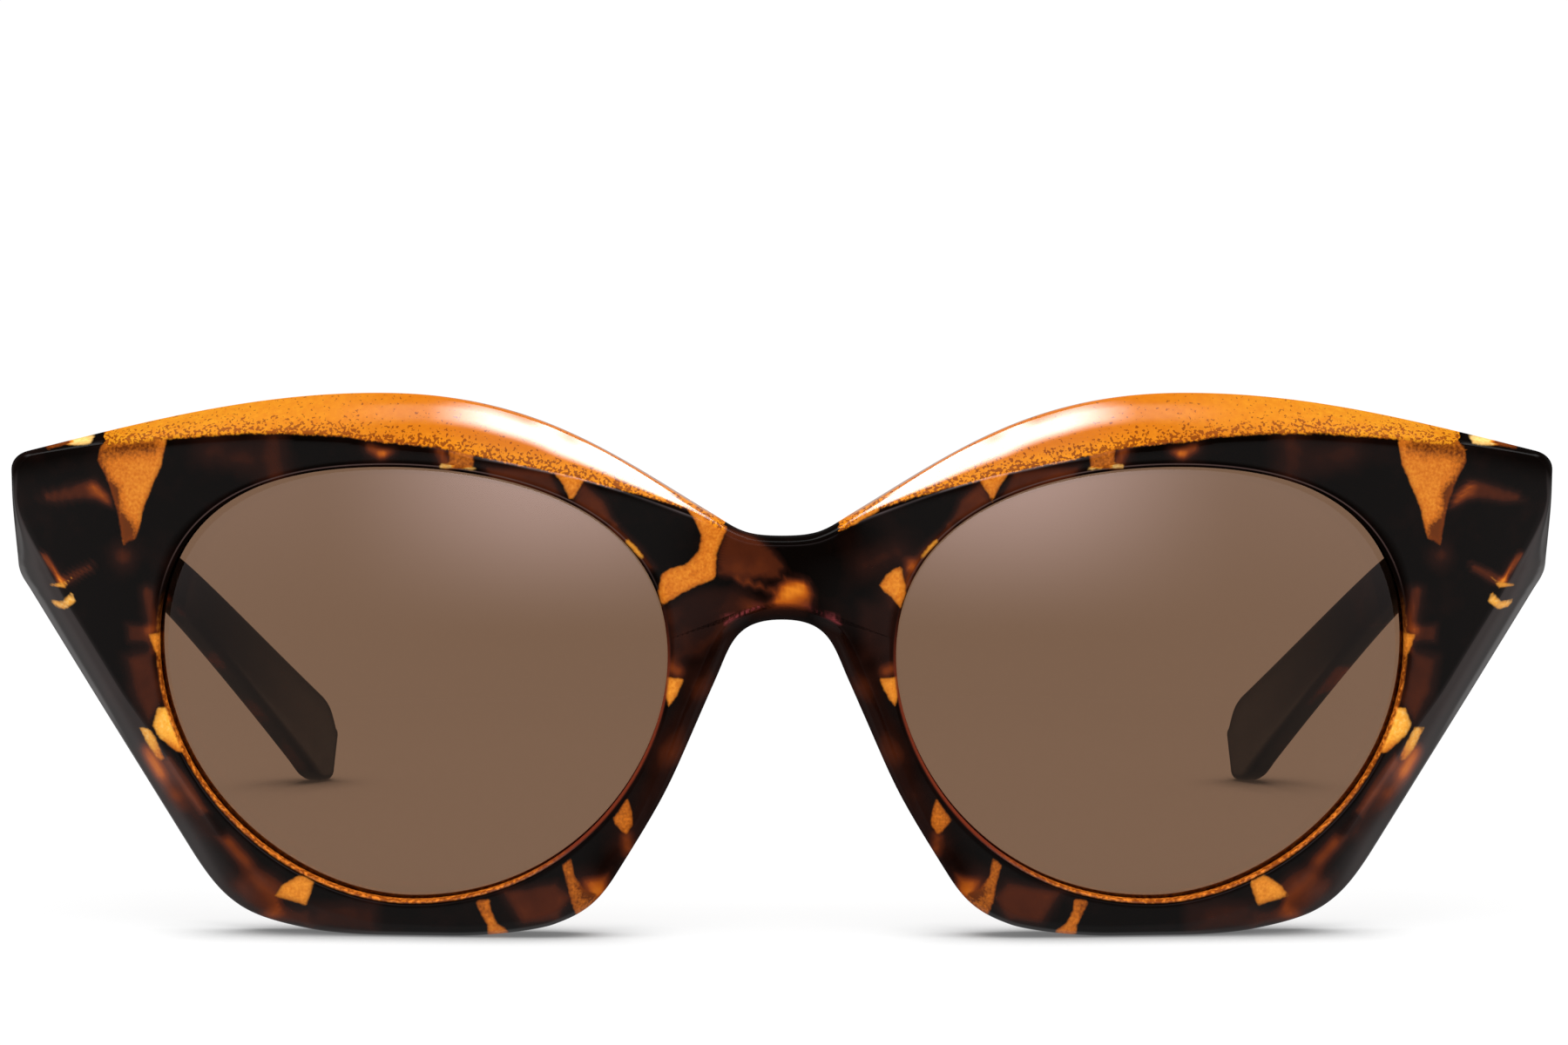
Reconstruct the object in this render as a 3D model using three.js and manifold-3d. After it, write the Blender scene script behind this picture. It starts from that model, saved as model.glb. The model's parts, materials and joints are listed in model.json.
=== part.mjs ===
// Cat-eye sunglasses: a thick faceted front, two tinted lenses, and two folding temples on
// five-knuckle hinges. Millimetres, +Z up. The front faces -Y, the temples run back along +Y,
// and +X is the wearer's left. The glasses stand open on a table whose top is z = 0.
// Every shape is laid out with the front of the bridge at y = 0, and the finished group is
// moved so that the origin is the middle of the footprint.
import * as THREE from 'three';
import { mergeVertices } from 'three/addons/utils/BufferGeometryUtils.js';
import Module from 'manifold-3d';

const wasm = await Module();
wasm.setup();

// ---- Driving dimensions ------------------------------------------------------------------

const TOTAL_DEPTH = 152.2;          // bridge front to the ends of the temple tips

const FRONT_BOW_RADIUS = 400;       // the front is bowed like a barrel stave, about a vertical axis
const FRONT_THICKNESS = 5.0;
const REAR_EDGE = 0.6;              // chamfer round the back of the front
const LENS_EDGE_BREAK = 0.5;        // chamfer round the lens openings
const LENS_CENTRE = new THREE.Vector2(34.7, 24.5);
const LENS_RADIUS = 130;            // curvature of the lenses, about four dioptres
const LENS_THICKNESS = 1.9;
const LENS_SET_BACK = 1.04;         // middle of the lens behind the front face, at its centre
const GROOVE_DEPTH = 0.8;
const GROOVE_HALF_WIDTH = 1.1;
const LENS_IN_GROOVE = 0.5;

const HINGE_X = 65.85;              // pivot line of the left temple
const HINGE_Y = 14.0;
const HINGE_Z = 39.6;               // middle of the hinge's height
const KNUCKLES = 5;
const KNUCKLE_HEIGHT = 1.3;
const KNUCKLE_GAP = 0.125;
const KNUCKLE_RADIUS = 1.45;
const PIN_RADIUS = 0.57;
const PIN_HOLE_RADIUS = 0.62;
const LEAF_THICKNESS = 1.2;
const LEAF_PROUD = 0.1;             // a leaf stands this far out of its pocket
const POCKET_CLEARANCE = 0.08;
const HALF_JOINT_GAP = 0.15;        // from the pivot plane to the end block, and to the temple

const LEAF_SCREW = { headRadius: 0.95, headHeight: 0.6, shankRadius: 0.5, length: 3.3 };
const PIVOT_HEAD = { radius: 1.25, height: 0.7 };

const TEMPLE_OUTER_X = 72.65;       // the outer face is flat up to the ear bend
const EAR_BEND_Y = 80;
const TIP_INWARD = 15.25;           // how far the outer face has come in at the end of the tip
const TEMPLE_THICKNESS = { hinge: 4.4, bend: 3.8, tip: 3.1 };
const TEMPLE_EDGE = 1.0;            // chamfer along the temple

// ---- Solids and meshes -------------------------------------------------------------------

// Turns a closed three.js geometry into a manifold-3d solid that faces out.
function solidOf(geometry) {
  const bare = geometry.index ? geometry.toNonIndexed() : geometry.clone();
  bare.deleteAttribute('normal');
  bare.deleteAttribute('uv');
  const merged = mergeVertices(bare, 1e-4);
  const vertProperties = merged.attributes.position.array;
  const triVerts = new Uint32Array(merged.index.array);
  const solid = new wasm.Manifold(new wasm.Mesh({ numProp: 3, vertProperties, triVerts }));
  if (solid.volume() > 0) return solid;
  return new wasm.Manifold(new wasm.Mesh({ numProp: 3, vertProperties, triVerts: triVerts.reverse() }));
}

function geometryOf(solid) {
  const { vertProperties, triVerts } = solid.getMesh();
  const geometry = new THREE.BufferGeometry();
  geometry.setAttribute('position', new THREE.BufferAttribute(vertProperties, 3));
  geometry.setIndex(new THREE.BufferAttribute(triVerts, 1));
  geometry.computeVertexNormals();
  return geometry;
}

function meshOf(name, solid, material) {
  const mesh = new THREE.Mesh(geometryOf(solid), material);
  mesh.name = name;
  return mesh;
}

// Skins a grid of points: rows run along the piece, and each row is a closed loop.
// keep(row, column) says whether the quad from that row and column to the next is wanted.
function skin(rows, { closed = false, keep = () => true } = {}) {
  const triangles = [];
  const columns = rows[0].length;
  const last = closed ? rows.length : rows.length - 1;
  for (let i = 0; i < last; i++) {
    for (let j = 0; j < columns; j++) {
      if (!keep(i, j)) continue;
      const next = (i + 1) % rows.length;
      const side = (j + 1) % columns;
      const [a, b, c, d] = [rows[i][j], rows[next][j], rows[next][side], rows[i][side]];
      triangles.push(a, b, c, a, c, d);
    }
  }
  return triangles;
}

// The flat end of a skinned piece, as a fan about the middle of its last loop.
function cap(loop, reversed) {
  const middle = loop.reduce((sum, p) => sum.add(p), new THREE.Vector3()).divideScalar(loop.length);
  return loop.flatMap((p, j) => {
    const next = loop[(j + 1) % loop.length];
    return reversed ? [middle, next, p] : [middle, p, next];
  });
}

function loft(rows) {
  const triangles = [...skin(rows), ...cap(rows[0], false), ...cap(rows.at(-1), true)];
  return solidOf(new THREE.BufferGeometry().setFromPoints(triangles));
}

function extrude(shape, depth, place) {
  const geometry = new THREE.ExtrudeGeometry(shape, { depth, bevelEnabled: false, curveSegments: 8 });
  return solidOf(geometry.applyMatrix4(place));
}

function box(x, y, z, place = new THREE.Matrix4()) {
  return solidOf(new THREE.BoxGeometry(x, y, z).applyMatrix4(place));
}

function placed(...matrices) {
  return matrices.reduce((product, m) => product.multiply(m), new THREE.Matrix4());
}

const shift = (x, y, z) => new THREE.Matrix4().makeTranslation(x, y, z);
const turnX = (angle) => new THREE.Matrix4().makeRotationX(angle);
const turnZ = (angle) => new THREE.Matrix4().makeRotationZ(angle);
const smooth = (t) => t * t * (3 - 2 * t);

// ---- Front: surfaces and outlines --------------------------------------------------------

const frontFaceY = (x) => (x * x) / (2 * FRONT_BOW_RADIUS);
const rearFaceY = (x) => frontFaceY(x) + FRONT_THICKNESS;

// Middle surface of the left lens: a shallow dome turned to follow the front's bow.
function lensMiddleY(x, z) {
  const dx = x - LENS_CENTRE.x;
  const dz = z - LENS_CENTRE.y;
  const tilt = LENS_CENTRE.x / FRONT_BOW_RADIUS;
  return frontFaceY(LENS_CENTRE.x) + LENS_SET_BACK + tilt * dx + (dx * dx + dz * dz) / (2 * LENS_RADIUS);
}

const point = (x, z) => new THREE.Vector2(x, z);
const line = (a, b) => new THREE.LineCurve(a, b);

// A cubic curve from a to b that leaves and arrives along the given directions, in degrees.
function bend(a, leave, leaveLength, b, arrive, arriveLength) {
  const along = (degrees, length) => {
    const angle = THREE.MathUtils.degToRad(degrees);
    return new THREE.Vector2(Math.cos(angle), Math.sin(angle)).multiplyScalar(length);
  };
  return new THREE.CubicBezierCurve(
    a, a.clone().add(along(leave, leaveLength)), b.clone().sub(along(arrive, arriveLength)), b);
}

// Left lens opening as four curves between its outermost, lowest, innermost and highest points.
const OPENING = [
  bend(point(37, 44.25), 0, 12.6, point(58.85, 27.7), -90, 12.4),
  bend(point(58.85, 27.7), -90, 14.3, point(35, 3.45), 180, 10.9),
  bend(point(35, 3.45), 180, 15.3, point(10.7, 26.6), 90, 10.5),
  bend(point(10.7, 26.6), 90, 14.8, point(37, 44.25), 0, 10.0),
].flatMap((curve) => curve.getPoints(60).slice(1));

const bearing = (p) => Math.atan2(p.y - LENS_CENTRE.y, p.x - LENS_CENTRE.x);

// The point of the lens opening that lies towards p from the lens centre.
function openingTowards(p) {
  const wanted = bearing(p);
  const offBy = (q) => Math.abs(Math.atan2(Math.sin(bearing(q) - wanted), Math.cos(bearing(q) - wanted)));
  const [near, other] = [...OPENING].sort((a, b) => offBy(a) - offBy(b));
  const share = offBy(near) / (offBy(near) + offBy(other) || 1);
  return near.clone().lerp(other, share);
}

// Outline of the left half, from the top of the bridge round to the nose arch. The facets list
// holds [share of the edge, facet width, facet depth]: how far the front face stops short of
// the outline there, and how far the outline lies behind the front face.
const OUTLINE = [
  { curve: bend(point(0, 37.7), 0, 3.7, point(6.75, 39.9), 31.5, 3.0), stations: 4,
    facets: [[0, 0.6, 0.6], [1, 0.8, 0.7]] },
  { curve: bend(point(6.75, 39.9), 31.5, 11.5, point(38, 51.13), 0, 14.2), stations: 10,
    facets: [[0, 0.8, 0.7], [0.25, 2.6, 1.9], [0.5, 4.2, 2.9], [0.72, 4.9, 3.2], [1, 4.35, 3.1]] },
  { curve: bend(point(38, 51.13), 0, 11.8, point(71.5, 45.6), -14, 11.7), stations: 9,
    facets: [[0, 4.35, 3.1], [0.5, 2.7, 2.8], [0.75, 1.55, 1.9], [1, 0.65, 0.8]] },
  { curve: bend(point(71.5, 45.6), -14, 0.9, point(73.15, 43.8), -90, 1.0), stations: 3,
    facets: [[0, 0.65, 0.8], [1, 0.8, 0.9]] },
  { curve: line(point(73.15, 43.8), point(72.85, 34.8)), stations: 4,
    facets: [[0, 0.8, 0.9], [0.3, 0.5, 0.7], [0.5, 1.0, 1.2], [1, 3.85, 3.0]] },
  { curve: bend(point(72.85, 34.8), -92, 1.2, point(71.5, 32.0), -121, 1.2), stations: 3,
    facets: [[0, 3.85, 3.0], [0.35, 4.2, 3.2], [1, 3.8, 3.0]] },
  { curve: line(point(71.5, 32.0), point(56.4, 8.0)), stations: 6,
    facets: [[0, 3.8, 3.0], [0.4, 3.05, 2.8], [0.65, 3.3, 2.8], [1, 3.4, 2.8]] },
  { curve: bend(point(56.4, 8.0), -122, 6.5, point(45, 0.45), -170, 6.4), stations: 6,
    facets: [[0, 3.4, 2.8], [0.45, 4.2, 2.9], [1, 2.5, 1.8]] },
  { curve: bend(point(45, 0.45), -170, 2.1, point(38, 0), 180, 2.3), stations: 2,
    facets: [[0, 2.5, 1.8], [1, 1.1, 1.0]] },
  { curve: line(point(38, 0), point(31, 0)), stations: 1,
    facets: [[0, 1.1, 1.0], [1, 0.95, 0.9]] },
  { curve: bend(point(31, 0), 180, 3.7, point(21.5, 1.14), 160, 1.5), stations: 3,
    facets: [[0, 0.95, 0.9], [1, 1.05, 1.0]] },
  { curve: bend(point(21.5, 1.14), 160, 3.0, point(15.6, 5.9), 122, 3.3), stations: 5,
    facets: [[0, 1.05, 1.0], [0.6, 1.4, 1.3], [1, 1.15, 1.3]] },
  { curve: bend(point(15.6, 5.9), 122, 10.7, point(6.2, 24.3), 114, 11.5), stations: 7,
    facets: [[0, 1.15, 1.3], [0.15, 0.95, 1.3], [0.6, 1.4, 2.2], [1, 1.9, 3.0]] },
  { curve: bend(point(6.2, 24.3), 114, 3.2, point(0, 29.85), 180, 4.5), stations: 7,
    facets: [[0, 1.9, 3.0], [0.6, 1.8, 2.9], [1, 1.2, 2.4]] },
];
const SEAM_STATIONS = 2;            // between the nose arch and the top of the bridge, on x = 0

function facetAt(facets, t) {
  const next = Math.max(1, facets.findIndex(([share]) => share >= t));
  const [t0, width0, depth0] = facets[next - 1];
  const [t1, width1, depth1] = facets[next];
  const mix = (t - t0) / (t1 - t0);
  return { width: width0 + (width1 - width0) * mix, depth: depth0 + (depth1 - depth0) * mix };
}

// Direction from the outline into the material. It is square to the outline at the bridge, so
// that the halves meet on x = 0, and turns towards the lens opening further out.
function inwardAt(curve, t, outer, opening) {
  const tangent = curve.getTangent(t);
  const square = new THREE.Vector2(tangent.y, -tangent.x);
  if (outer.x === 0) return new THREE.Vector2(0, Math.sign(square.y));
  const towardsLens = opening.clone().sub(outer).normalize();
  return square.lerp(towardsLens, smooth(Math.min(1, outer.x / 8))).normalize();
}

function outlineStations() {
  const stations = OUTLINE.flatMap(({ curve, stations: count, facets }, index) => {
    const end = index === OUTLINE.length - 1 ? count + 1 : count;
    return Array.from({ length: end }, (_, i) => {
      const t = i / count;
      const outer = curve.getPoint(t);
      const opening = openingTowards(outer);
      return { outer, opening, inward: inwardAt(curve, t, outer, opening), facet: facetAt(facets, t) };
    });
  });
  const arch = stations.at(-1);
  const top = stations[0];
  const seam = Array.from({ length: SEAM_STATIONS }, (_, i) => {
    const outer = arch.outer.clone().lerp(top.outer, (i + 1) / (SEAM_STATIONS + 1));
    const opening = openingTowards(outer);
    return { outer, opening, inward: new THREE.Vector2(), facet: { width: 0, depth: 0 }, seam: true };
  });
  return [...stations, ...seam];
}

// One closed section through the rim: front face, facet, outer wall, rear face, lens groove.
function rimSection({ outer, opening, inward, facet }) {
  const place = (p, surface, behind = 0) => new THREE.Vector3(p.x, surface(p.x) + behind, p.y);
  const fromOpening = (distance) => {
    const outward = opening.clone().sub(LENS_CENTRE).setLength(distance);
    return opening.clone().add(outward);
  };
  const inFromOutline = (distance) => outer.clone().addScaledVector(inward, distance);
  const faceEdge = inFromOutline(facet.width);
  const rearEdge = inFromOutline(REAR_EDGE);
  const frontInner = fromOpening(LENS_EDGE_BREAK);
  const grooveFloor = fromOpening(GROOVE_DEPTH);
  const grooveY = lensMiddleY(opening.x, opening.y);
  const inGroove = (p, behind) => new THREE.Vector3(p.x, grooveY + behind, p.y);
  return [
    inGroove(opening, -GROOVE_HALF_WIDTH),
    place(opening, frontFaceY, LENS_EDGE_BREAK),
    place(frontInner, frontFaceY),
    place(frontInner.clone().lerp(faceEdge, 0.5), frontFaceY),
    place(faceEdge, frontFaceY),
    place(outer, frontFaceY, facet.depth),
    place(outer, rearFaceY, -REAR_EDGE),
    place(rearEdge, rearFaceY),
    place(frontInner.clone().lerp(rearEdge, 0.5), rearFaceY),
    place(frontInner, rearFaceY),
    place(opening, rearFaceY, -LENS_EDGE_BREAK),
    inGroove(opening, GROOVE_HALF_WIDTH),
    inGroove(grooveFloor, GROOVE_HALF_WIDTH),
    inGroove(grooveFloor, -GROOVE_HALF_WIDTH),
  ];
}
const WALL_COLUMNS = [4, 5, 6];     // facet, outer wall and rear chamfer: absent along the seam

function mirroredInX(triangles) {
  return triangles.map((p) => new THREE.Vector3(-p.x, p.y, p.z)).reverse();
}

function frontShell() {
  const stations = outlineStations();
  const count = stations.length;
  const isSeam = (i) => stations[i].seam || stations[(i + 1) % count].seam;
  const half = skin(stations.map(rimSection), {
    closed: true,
    keep: (i, j) => !(isSeam(i) && WALL_COLUMNS.includes(j)),
  });
  return solidOf(new THREE.BufferGeometry().setFromPoints([...half, ...mirroredInX(half)]));
}

// ---- Temples -----------------------------------------------------------------------------

// Upper and lower edges of the temple seen from the side, as points (y, z). Each pair of
// points, one from each list, spans one section of the temple.
const TEMPLE_START_Y = HINGE_Y + HALF_JOINT_GAP;
const TEMPLE_TOP_AT_HINGE = 45.2;
const TEMPLE_BOTTOM_AT_HINGE = 34.0;
const BEND_TOP = point(90, 32.4);
const BEND_BOTTOM = point(83, 28.3);
const TIP_TOP = point(147.9, 10.7);
const TIP_BOTTOM = point(143.2, 2.7);
const TIP_END = [                   // the rounded end of the tip, with its flat foot on z = 0
  [point(150.3, 8.7), point(145.4, 1.25)],
  [point(151.6, 6.7), point(147.6, 0)],
  [point(152.0, 4.6), point(149.7, 0)],
];

function templeEdges(straight, curved) {
  const top = line(point(TEMPLE_START_Y, TEMPLE_TOP_AT_HINGE), BEND_TOP).getPoints(straight);
  const bottom = line(point(TEMPLE_START_Y, TEMPLE_BOTTOM_AT_HINGE), BEND_BOTTOM).getPoints(straight);
  top.push(...bend(BEND_TOP, -8.7, 20.1, TIP_TOP, -28.8, 21.8).getPoints(curved).slice(1));
  bottom.push(...bend(BEND_BOTTOM, -4.2, 20.6, TIP_BOTTOM, -35.6, 18.8).getPoints(curved).slice(1));
  const spans = top.map((p, i) => [p, bottom[i]]);
  return [...spans, ...TIP_END];
}

const pastBend = (y) => Math.max(0, y - EAR_BEND_Y) / (TOTAL_DEPTH - EAR_BEND_Y);
const templeOuterX = (y) => TEMPLE_OUTER_X - TIP_INWARD * pastBend(y) ** 2;

function templeThickness(y) {
  const { hinge, bend: atBend, tip } = TEMPLE_THICKNESS;
  const share = (y - TEMPLE_START_Y) / (EAR_BEND_Y - TEMPLE_START_Y);
  return share < 1 ? hinge + (atBend - hinge) * share : atBend + (tip - atBend) * pastBend(y);
}

const templeMiddleX = (y) => templeOuterX(y) - templeThickness(y) / 2;

// A loop round the temple's section: across is the half thickness, and up is the distance from
// the middle towards the upper edge.
function bentSection(top, bottom, corners) {
  const middle = top.clone().lerp(bottom, 0.5);
  const upward = top.clone().sub(bottom).normalize();
  return corners.map(([across, up]) => {
    const at = middle.clone().addScaledVector(upward, up);
    const slope = (2 * TIP_INWARD * pastBend(at.x)) / (TOTAL_DEPTH - EAR_BEND_Y);
    const side = new THREE.Vector2(1, slope).normalize();
    return new THREE.Vector3(templeMiddleX(at.x) + side.x * across, at.x + side.y * across, at.y);
  });
}

function chamferedCorners(halfWidth, halfHeight, edge) {
  const [w, h] = [halfWidth, halfHeight];
  return [
    [w, h - edge], [w - edge, h], [edge - w, h], [-w, h - edge],
    [-w, edge - h], [edge - w, -h], [w - edge, -h], [w, edge - h],
  ];
}

function templeBlank() {
  const rows = templeEdges(3, 9).map(([top, bottom]) => {
    const halfWidth = templeThickness((top.x + bottom.x) / 2) / 2;
    const halfHeight = top.distanceTo(bottom) / 2;
    return bentSection(top, bottom, chamferedCorners(halfWidth, halfHeight, TEMPLE_EDGE));
  });
  return loft(rows);
}

// The flat wire inside the temple, or the channel for it when grown by a clearance.
const WIRE = { start: 27, halfThickness: 0.55, halfHeight: 1.2, tipHalfHeight: 0.8 };

function coreWire(grow, startY) {
  const all = templeEdges(3, 9);
  const startSpan = [startY, WIRE.start].map((y) => templeSpanAt(y));
  const inner = all.filter(([top]) => top.x > WIRE.start + 5 && top.x < TIP_TOP.x);
  const spans = grow ? [...startSpan, ...inner] : [startSpan[1], ...inner];
  const rows = spans.map(([top, bottom], i) => {
    const share = i / (spans.length - 1);
    const up = WIRE.halfHeight + (WIRE.tipHalfHeight - WIRE.halfHeight) * share + grow;
    const across = WIRE.halfThickness + grow;
    return bentSection(top, bottom, chamferedCorners(across, up, 0.25));
  });
  if (grow) {
    const ahead = rows.at(-1).map((p, j) => p.clone().multiplyScalar(2).sub(rows.at(-2)[j]));
    rows.push(rows.at(-1).map((p, j) => p.clone().lerp(ahead[j], 0.05)));
  }
  return loft(rows);
}

// The temple's upper and lower edge points at a place in its straight part.
function templeSpanAt(y) {
  const start = [point(TEMPLE_START_Y, TEMPLE_TOP_AT_HINGE), point(TEMPLE_START_Y, TEMPLE_BOTTOM_AT_HINGE)];
  return [BEND_TOP, BEND_BOTTOM].map((end, i) => {
    const share = (y - TEMPLE_START_Y) / ((BEND_TOP.x + BEND_BOTTOM.x) / 2 - TEMPLE_START_Y);
    return start[i].clone().lerp(end, share);
  });
}

// ---- Hinges ------------------------------------------------------------------------------

const HINGE_HEIGHT = KNUCKLES * KNUCKLE_HEIGHT + (KNUCKLES - 1) * KNUCKLE_GAP;
const HINGE_BOTTOM = HINGE_Z - HINGE_HEIGHT / 2;
const PIVOT_SEGMENTS = 16;

// Frame of the front leaf: on the rear face, turned to lie along the bow. Its x axis runs
// outwards along the rear face and its y axis points backwards.
const FRONT_LEAF = { x: 63.1, width: 7.6, height: 7.0, screwX: -2.1, screwSpacing: 3.8 };
const FRONT_LEAF_FRAME = placed(
  shift(FRONT_LEAF.x, rearFaceY(FRONT_LEAF.x) + LEAF_PROUD, HINGE_Z),
  turnZ(FRONT_LEAF.x / FRONT_BOW_RADIUS));

// Frame of the temple leaf: on the inner face, following the temple's slope. Its x axis points
// outwards into the temple and its y axis runs back along it.
const TEMPLE_LEAF = { start: 15.0, length: 10.2, height: 6.0, screws: [3.4, 7.4] };
const templeSlope = Math.atan2(
  (BEND_TOP.y + BEND_BOTTOM.y - TEMPLE_TOP_AT_HINGE - TEMPLE_BOTTOM_AT_HINGE) / 2,
  (BEND_TOP.x + BEND_BOTTOM.x) / 2 - TEMPLE_START_Y);
const templeInnerX = templeMiddleX(TEMPLE_LEAF.start) - templeThickness(TEMPLE_LEAF.start) / 2;
const TEMPLE_LEAF_FRAME = placed(
  shift(templeInnerX - LEAF_PROUD, TEMPLE_LEAF.start, HINGE_Z), turnX(templeSlope));

// Knuckles of one leaf: the given levels, each joined to its leaf by an arm drawn in plan.
function knuckles(levels, armPoints) {
  const arm = new THREE.Shape(armPoints.map(([x, y]) => new THREE.Vector2(x, y)));
  const ring = new THREE.Shape().absarc(HINGE_X, HINGE_Y, KNUCKLE_RADIUS, 0, 2 * Math.PI);
  return levels.map((level) => {
    const bottom = HINGE_BOTTOM + level * (KNUCKLE_HEIGHT + KNUCKLE_GAP);
    const place = shift(0, 0, bottom);
    return extrude(arm, KNUCKLE_HEIGHT, place).add(extrude(ring, KNUCKLE_HEIGHT, place));
  });
}

function cylinder(radius, height, place) {
  const geometry = new THREE.CylinderGeometry(radius, radius, height, PIVOT_SEGMENTS);
  return solidOf(geometry.rotateX(Math.PI / 2).applyMatrix4(place));
}

const pivotHole = () => cylinder(PIN_HOLE_RADIUS, HINGE_HEIGHT + 4, shift(HINGE_X, HINGE_Y, HINGE_Z));

// A countersunk screw on its own axis: the head's flat top is at z = 0 and the tip points down.
function screwBody(screw, grow) {
  const head = screw.headRadius + grow;
  const shank = screw.shankRadius + grow;
  const profile = [
    [0, -screw.length - grow], [shank * 0.5, -screw.length - grow], [shank, -screw.length + 0.5],
    [shank, -screw.headHeight], [head, -0.12], [head, grow ? 2 : 0], [0, grow ? 2 : 0],
  ];
  return solidOf(new THREE.LatheGeometry(profile.map(([r, y]) => new THREE.Vector2(r, y)), 12)
    .rotateX(Math.PI / 2));
}

function crossSlot(length, width, depth) {
  return box(length, width, depth).add(box(width, length, depth));
}

const leafScrew = () => screwBody(LEAF_SCREW, 0).subtract(crossSlot(1.1, 0.26, 0.6));

// Places of the four leaf screws of one side. Each frame's z axis points out of the screw head.
const FRONT_SCREW_PLACES = [1, -1].map((side) => placed(
  FRONT_LEAF_FRAME, shift(FRONT_LEAF.screwX, 0, (side * FRONT_LEAF.screwSpacing) / 2),
  turnX(-Math.PI / 2)));
const TEMPLE_SCREW_PLACES = TEMPLE_LEAF.screws.map((y) => placed(
  TEMPLE_LEAF_FRAME, shift(0, y, 0), new THREE.Matrix4().makeRotationY(-Math.PI / 2)));

const at = (solid, place) => solidOf(geometryOf(solid).applyMatrix4(place));

function screwHoles(places) {
  return places.map((place) => at(screwBody(LEAF_SCREW, 0.04), place));
}

function leafPlate(width, height, grow, frame, centre) {
  const size = [width + 2 * grow, LEAF_THICKNESS + grow, height + 2 * grow];
  return box(...size, placed(frame, shift(centre, -(LEAF_THICKNESS + grow) / 2, 0)));
}

function templeLeafPlate(grow) {
  const length = TEMPLE_LEAF.length + 2 * grow;
  const thick = LEAF_THICKNESS + grow;
  const place = placed(TEMPLE_LEAF_FRAME, shift(thick / 2, TEMPLE_LEAF.length / 2, 0));
  return box(thick, length, TEMPLE_LEAF.height + 2 * grow, place);
}

function unite(solids) {
  return solids.reduce((sum, s) => sum.add(s));
}

function cut(solid, cutters) {
  return cutters.reduce((rest, c) => rest.subtract(c), solid);
}

function frontLeaf() {
  const plate = leafPlate(FRONT_LEAF.width, FRONT_LEAF.height, 0, FRONT_LEAF_FRAME, 0);
  const root = rearFaceY(HINGE_X) - 0.6;
  const arm = [
    [HINGE_X - KNUCKLE_RADIUS, root], [HINGE_X + 0.9, root],
    [HINGE_X + KNUCKLE_RADIUS, HINGE_Y], [HINGE_X - KNUCKLE_RADIUS, HINGE_Y],
  ];
  const body = unite([plate, ...knuckles([0, 2, 4], arm)]);
  return cut(body, [pivotHole(), ...screwHoles(FRONT_SCREW_PLACES)]);
}

function templeLeaf() {
  const reach = templeInnerX + 0.6;
  const arm = [
    [HINGE_X, HINGE_Y - KNUCKLE_RADIUS * 0.2], [reach, TEMPLE_START_Y + 0.25],
    [reach, TEMPLE_LEAF.start + 2.2], [HINGE_X, HINGE_Y + KNUCKLE_RADIUS],
  ];
  const body = unite([templeLeafPlate(0), ...knuckles([1, 3], arm)]);
  return cut(body, [pivotHole(), ...screwHoles(TEMPLE_SCREW_PLACES)]);
}

// The screw that the temple turns on: a slotted head above the top knuckle, and a plain shank.
function pivotScrew() {
  const top = HINGE_BOTTOM + HINGE_HEIGHT;
  const shank = cylinder(PIN_RADIUS, HINGE_HEIGHT + 0.1, shift(HINGE_X, HINGE_Y, HINGE_Z + 0.05));
  const headPlace = shift(HINGE_X, HINGE_Y, top + 0.05 + PIVOT_HEAD.height / 2);
  const head = cylinder(PIVOT_HEAD.radius, PIVOT_HEAD.height, headPlace);
  const slot = box(3, 0.35, 0.7, shift(HINGE_X, HINGE_Y, top + 0.05 + PIVOT_HEAD.height));
  return shank.add(head).subtract(slot);
}

// ---- Front and temples with their pockets ------------------------------------------------

// The block behind the end piece that the temple butts against.
function endBlock() {
  const [top, bottom] = [TEMPLE_TOP_AT_HINGE, TEMPLE_BOTTOM_AT_HINGE];
  const middleX = templeMiddleX(TEMPLE_START_Y);
  const corners = chamferedCorners(TEMPLE_THICKNESS.hinge / 2, (top - bottom) / 2, TEMPLE_EDGE);
  const loopAt = (y) => corners.map(([across, up]) =>
    new THREE.Vector3(middleX + across, y, (top + bottom) / 2 + up));
  return loft([loopAt(frontFaceY(TEMPLE_OUTER_X) + 3.2), loopAt(HINGE_Y - HALF_JOINT_GAP)]);
}

// Room in the end block for the knuckles and their arms.
function leafPocket() {
  const grow = POCKET_CLEARANCE;
  const pocket = leafPlate(FRONT_LEAF.width, FRONT_LEAF.height, grow, FRONT_LEAF_FRAME, 0);
  const above = placed(FRONT_LEAF_FRAME, shift(0, 1.4, 0));
  const open = leafPlate(FRONT_LEAF.width, FRONT_LEAF.height, grow, above, 0);
  return pocket.add(open).subtract(box(20, 40, 40, shift(templeInnerX + 10, HINGE_Y, HINGE_Z)));
}

function bothSides(solid) {
  return [solid, solid.mirror([1, 0, 0])];
}

function frameFront() {
  const shell = unite([frontShell(), ...bothSides(endBlock())]);
  const cutters = [leafPocket(), ...screwHoles(FRONT_SCREW_PLACES)];
  return cut(shell, cutters.flatMap(bothSides));
}

function temple() {
  const mouth = box(1.3, 4, TEMPLE_LEAF.height + 2 * POCKET_CLEARANCE,
    shift(templeInnerX, TEMPLE_LEAF.start, HINGE_Z));
  const channelStart = TEMPLE_LEAF.start + TEMPLE_LEAF.length - 1;
  const wireEntry = box(2.2, 0.9, 2.2, placed(
    TEMPLE_LEAF_FRAME, shift(1.9, TEMPLE_LEAF.length - 0.6, -0.3)));
  const channel = coreWire(0.12, channelStart).add(wireEntry);
  const cutters = [templeLeafPlate(POCKET_CLEARANCE), mouth, ...screwHoles(TEMPLE_SCREW_PLACES)];
  return cut(templeBlank(), [...cutters, channel]);
}

// ---- Lenses ------------------------------------------------------------------------------

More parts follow.
